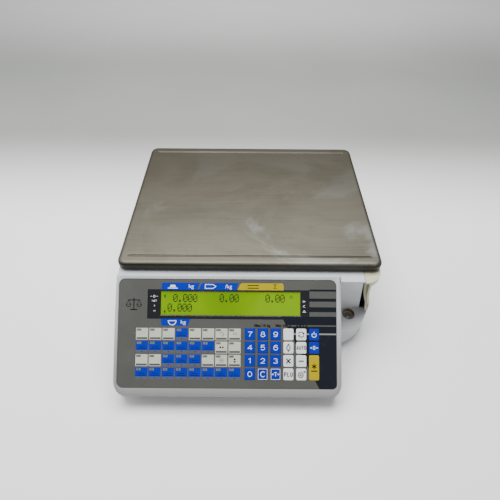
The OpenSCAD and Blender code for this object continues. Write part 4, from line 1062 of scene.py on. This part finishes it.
def legend(name, cx, cy, ink):
    """The sign on one key, as strokes or figures; cx, cy is the key's middle."""
    p = Print("legend_" + name, ink, 0.30, 0.46)
    line, ring = p.lines, lambda r, a=0, b=360, w=0.8: p.lines(arc(cx, cy, r, a, b, 16), w)
    if name.isdigit():
        p.figures(name, cx, cy, 6.2, 6.7, 0.85)
    elif name == "clear":
        p.figures("C", cx, cy, 6.4, 7.0, 0.95)
    elif name == "auto":
        p.figures("AUTO", cx, cy, 2.4, 4.8, 0.95, 1.42)
    elif name == "plu":
        p.figures("PLU", cx, cy, 2.9, 5.6, 1.1, 1.5)
    elif name == "diamond":
        line([(cx, cy - 5.0), (cx + 2.6, cy), (cx, cy + 5.0), (cx - 2.6, cy)], 1.15, True)
    elif name == "feed":
        line(arc(cx - 0.2, cy, 3.6, 200, 330, 8), 1.15)
        line(arc(cx + 0.2, cy, 3.6, 20, 150, 8), 1.15)
        p.shape([(cx + 1.4, cy - 3.0), (cx + 4.8, cy - 2.4), (cx + 3.0, cy + 0.8)])
        p.shape([(cx - 1.4, cy + 3.0), (cx - 4.8, cy + 2.4), (cx - 3.0, cy - 0.8)])
    elif name == "times":
        line([(cx - 3.0, cy - 3.2), (cx + 3.0, cy + 3.2)], 1.7)
        line([(cx + 3.0, cy - 3.2), (cx - 3.0, cy + 3.2)], 1.7)
    elif name == "minus":
        line([(cx - 3.4, cy), (cx + 3.4, cy)], 1.7)
    elif name == "total":
        line(arc(cx - 0.8, cy + 0.8, 3.4, 0, 345, 19), 1.1, True)
        line([(cx - 2.4, cy + 0.8), (cx + 0.8, cy + 0.8)], 1.0)
        line([(cx - 0.8, cy - 0.8), (cx - 0.8, cy + 2.4)], 1.0)
        line([(cx + 2.0, cy - 3.6), (cx + 5.0, cy - 3.6)], 1.0)
        p.shape([(cx + 4.0, cy - 5.2), (cx + 6.4, cy - 3.6), (cx + 4.0, cy - 2.0)])
    elif name == "power":
        line(arc(cx, cy + 0.6, 3.1, -50, 230, 16), 0.85)
        line([(cx, cy - 4.2), (cx, cy + 0.2)], 0.85)
    elif name in ("zero", "tare"):
        for s in (-1, 1):
            line([(cx + s * 5.6, cy), (cx + s * 3.6, cy)], 0.8)
            p.shape([(cx + s * 4.2, cy - 1.4), (cx + s * 4.2, cy + 1.4), (cx + s * 2.4, cy)])
        if name == "zero":
            line([(cx - 1.1, cy - 2.2), (cx + 1.1, cy - 2.2), (cx + 1.1, cy + 2.2), (cx - 1.1, cy + 2.2)], 0.7, True)
        else:
            line([(cx - 1.9, cy - 2.4), (cx + 1.9, cy - 2.4)], 0.9)
            line([(cx, cy - 2.4), (cx, cy + 2.8)], 0.9)
    elif name == "print":
        for a in (90, 30, 150):
            d = np.array([math.cos(math.radians(a)), math.sin(math.radians(a))]) * 3.6
            line([(cx - d[0], cy - 2 - d[1]), (cx + d[0], cy - 2 + d[1])], 1.25)
        line([(cx - 4.2, cy + 4.4), (cx + 4.2, cy + 4.4)], 1.5)
    if name in ("clear", "tare"):
        w, h = 6.3, 7.2
        line([(cx - w, cy - h), (cx + w, cy - h), (cx + w, cy + h), (cx - w, cy + h)], 0.55, True)
    return p


for k, name in enumerate(NAMES):
    wide = 7.15 - CLEAR
    if k < 20:
        cx, cy, half = KEY_X0 + (k % 5) * PITCH_X, KEY_T0 + (k // 5) * PITCH_T, 8.1
    else:
        cx, cy, half = KEY_X0 + 5 * PITCH_X, KEY_T0 + (k - 20) * PITCH_T, 8.1
        if name == "print":
            cy, half = KEY_T0 + 2.5 * PITCH_T, 8.1 + PITCH_T / 2
    colour, ink = KEY_WHITE, INK_BLACK
    kind = "key_white"
    if name.isdigit() or name in ("clear", "tare", "power", "zero"):
        colour, ink, kind = KEY_BLUE, INK_WHITE, "key_blue"
    if name == "print":
        colour, kind = KEY_YELLOW, "key_yellow"
    v, f = crowned(cx - wide, cx + wide, cy - half + CLEAR, cy + half - CLEAR, 1.9, -1.95, 0.3, 0.08)
    solid("pad_" + name, on_panel(v), f, "key_" + name, colour, 30, replaces=["key_" + name], slot=kind)
    sign = legend(name, cx, cy, ink)
    if sign.parts:
        sign.put("key_" + name)


# ---------------------------------------------------------------- body
softened("upper_housing", HOUSING, 0.9, 3, shade_at=30)
softened("base_tray", TRAY, 0.9, 3, shade_at=30)
softened("console_floor", HOUSING, 0.4, 2)
softened("keypad_overlay", OVERLAY, 0.12, 2)
softened("printer_door", COVER, 1.0, 3, shade_at=26, angle=35)
softened("connector_panel", DARK, 0.3, 2)
softened("power_switch", ROCKER, 0.3, 2)
for n, mat, w, sl in (("keypad_circuit", MEMBRANE, 0, "membrane"), ("main_board", BOARD, 0.2, "board"),
                      ("power_supply", ALLOY, 0.4, "alloy"), ("load_cell", ALLOY, 0.5, "alloy"),
                      ("platter_support", ALLOY, 0.9, "alloy"), ("platter_cushions", RUBBER, 0.5, "rubber"),
                      ("spider_bolts", PLATED, 0.3, "fixings"), ("foot_lock_nuts", PLATED, 0.2, "fixings"),
                      ("door_hinge_pins", STEEL, 0.2, "fixings"), ("fixing_screws", PLATED, 0.2, "fixings"),
                      ("cassette_frame", PLATED, 0.4, "plated"), ("cassette_rails", PLATED, 0.3, "plated"),
                      ("platen_roller", RUBBER, 0.2, "platen"), ("drive_motor", MOTOR, 0.6, "motor"),
                      ("motor_pinion", BRASS, 0.08, "pinion"), ("idler_gear", NYLON, 0.1, "nylon"),
                      ("rewind_spool", NYLON, 0.2, "nylon"), ("roll_spindle", DARK, 0.4, "dark_plastic"),
                      ("thermal_head", HEAD, 0.4, "head"), ("head_lever", LEVER, 0.5, "lever"),
                      ("label_roll", PAPER, 0.3, "paper"),
                      ("foot_front_left", RUBBER, 0.8, "foot"), ("foot_front_right", RUBBER, 0.8, "foot"),
                      ("foot_rear_left", RUBBER, 0.8, "foot"), ("foot_rear_right", RUBBER, 0.8, "foot")):
    softened(n, mat, w, 2)


def square_ring(r0, r1, z0, z1):
    """Closed square profile for turned()."""
    return [(r1, z0), (r1, z1), (r0, z1), (r0, z0), (r1, z0)]


def make_level():
    """Bubble level: cup, glass dome, coloured liquid and the bubble, each turned about the level's own axis."""
    lo, hi = span("spirit_level")
    c, r = ((lo[0] + hi[0]) / 2, (lo[1] + hi[1]) / 2, 0.0), (hi[0] - lo[0]) / 2
    z0, z1 = lo[2], hi[2]
    cup = [(0, z0), (r - 0.4, z0), (r, z0 + 0.4), (r, z1 - 0.5), (r - 0.5, z1), (r - 1.7, z1), (r - 2.1, z1 - 0.5),
           (r - 2.1, z0 + 2.2), (0, z0 + 2.2)]
    fill = [(0, z0 + 2.3), (r - 2.2, z0 + 2.3), (r - 2.2, z1 - 2.6), (0, z1 - 1.9)]
    solid("level_cup", *turned(cup, c, n=64), "chassis", RING, 35, replaces=["spirit_level"], slot="level")
    solid("level_liquid", *turned(fill, c, n=48), "chassis", LIQUID, 35)
    dome = [(0, z1 - 1.7), (r * 0.45, z1 - 1.85), (r - 2.2, z1 - 2.4), (r - 2.2, z1 - 1.5), (r * 0.45, z1 - 0.95),
            (0, z1 - 0.8)]
    solid("level_glass", *turned(dome, c, n=48), "chassis", VIAL, 35)
    bc = (c[0] - 1.2, c[1] - 0.8, 0)
    t = np.linspace(0, math.pi, 9)
    ball = np.stack([2.3 * np.sin(t), z1 - 2.3 - 0.5 * np.cos(t)], -1)
    solid("level_bubble", *turned(ball, bc, n=24), "chassis", KEY_WHITE, 60)
    # Painted shade: a thin dark ring lines the bore above the level.
    solid("level_bore_shade", *turned(square_ring(r - 0.5, r, z1 + 0.1, SEAM_Z - 2.8), c, n=64), "chassis", BORE_SHADE, 35)
    solid("level_mark", *turned(square_ring(3.4, 3.7, z1 - 1.0, z1 - 0.93), c, n=40), "chassis", INK_BLACK)


make_level()


# ---------------------------------------------------------------- floor, light, camera
def floor_sheet():
    """Pale floor z = 0, a flat square sheet; its tone turns greyer in a soft strip behind the object, a painted
    shade.
    """
    line = np.linspace(-9, 9, 31)
    x, y = np.meshgrid(line, line, indexing="ij")
    me = bpy.data.meshes.new("floor_sheet")
    me.from_pydata(np.stack([x, y, np.full_like(x, -0.0002)], -1).reshape(-1, 3).tolist(), [],
                   grid_faces(31, 31)[:, ::-1].tolist())
    m, g, s = blank("floor paper")
    cloud = noise(g, 3.0, 3, 0.5)
    y = place(g, 1)
    pale = blend_colour(g, cloud, (0.87, 0.875, 0.87), (0.93, 0.93, 0.925))
    grey = blend_colour(g, cloud, (0.24, 0.25, 0.235), (0.30, 0.31, 0.29))
    # Painted shade: a greyer strip on the floor behind the object.
    shade_band = maths(g, "MULTIPLY", ramp(g, y, 0.12, 0.52), ramp(g, y, 1.9, 0.85))
    g.links.new(blend_colour(g, shade_band, pale, grey), s.inputs["Base Color"])
    s.inputs["Roughness"].default_value = 0.7
    me.materials.append(m)
    me.update()
    ob = bpy.data.objects.new("floor_sheet", me)
    scene.collection.objects.link(ob)


floor_sheet()


def area(name, place, aim, size, power, colour=(1, 1, 1)):
    li = bpy.data.lights.new(name, "AREA")
    li.shape, li.size, li.size_y, li.energy, li.color = "RECTANGLE", size[0], size[1], power, colour
    ob = bpy.data.objects.new(name, li)
    scene.collection.objects.link(ob)
    ob.location = place
    ob.rotation_euler = (Vector(aim) - Vector(place)).to_track_quat("-Z", "Y").to_euler()


area("overhead", (-0.1, 0.40, 1.6), (0, 0.05, 0), (1.7, 1.0), 62)
area("left window", (-1.7, 0.2, 1.1), (0, 0, 0.05), (1.2, 1.2), 10, (0.96, 0.98, 1.0))
area("front fill", (0.7, -1.5, 0.7), (0, 0, 0.05), (1.2, 0.7), 4.0, (1.0, 0.99, 0.97))
world = bpy.data.worlds.new("room")
scene.world = world
world.use_nodes = True
world.node_tree.nodes["Background"].inputs["Color"].default_value = (0.86, 0.87, 0.88, 1)
world.node_tree.nodes["Background"].inputs["Strength"].default_value = 0.38

cam = bpy.data.cameras.new("camera")
cam.lens, cam.sensor_width, cam.sensor_height, cam.sensor_fit = 27.0, 36.0, 36.0, "HORIZONTAL"
cam.clip_start, cam.clip_end = 0.01, 20
eye = bpy.data.objects.new("camera", cam)
scene.collection.objects.link(eye)
LOOK_DOWN, ROLL = math.radians(48.3), math.radians(0.45)
eye.matrix_world = (Matrix.Translation((0.0, (YP - 338.8) * MM, 0.5544))
                    @ Matrix.Rotation(math.pi / 2 - LOOK_DOWN, 4, "X") @ Matrix.Rotation(ROLL, 4, "Z"))
scene.camera = eye
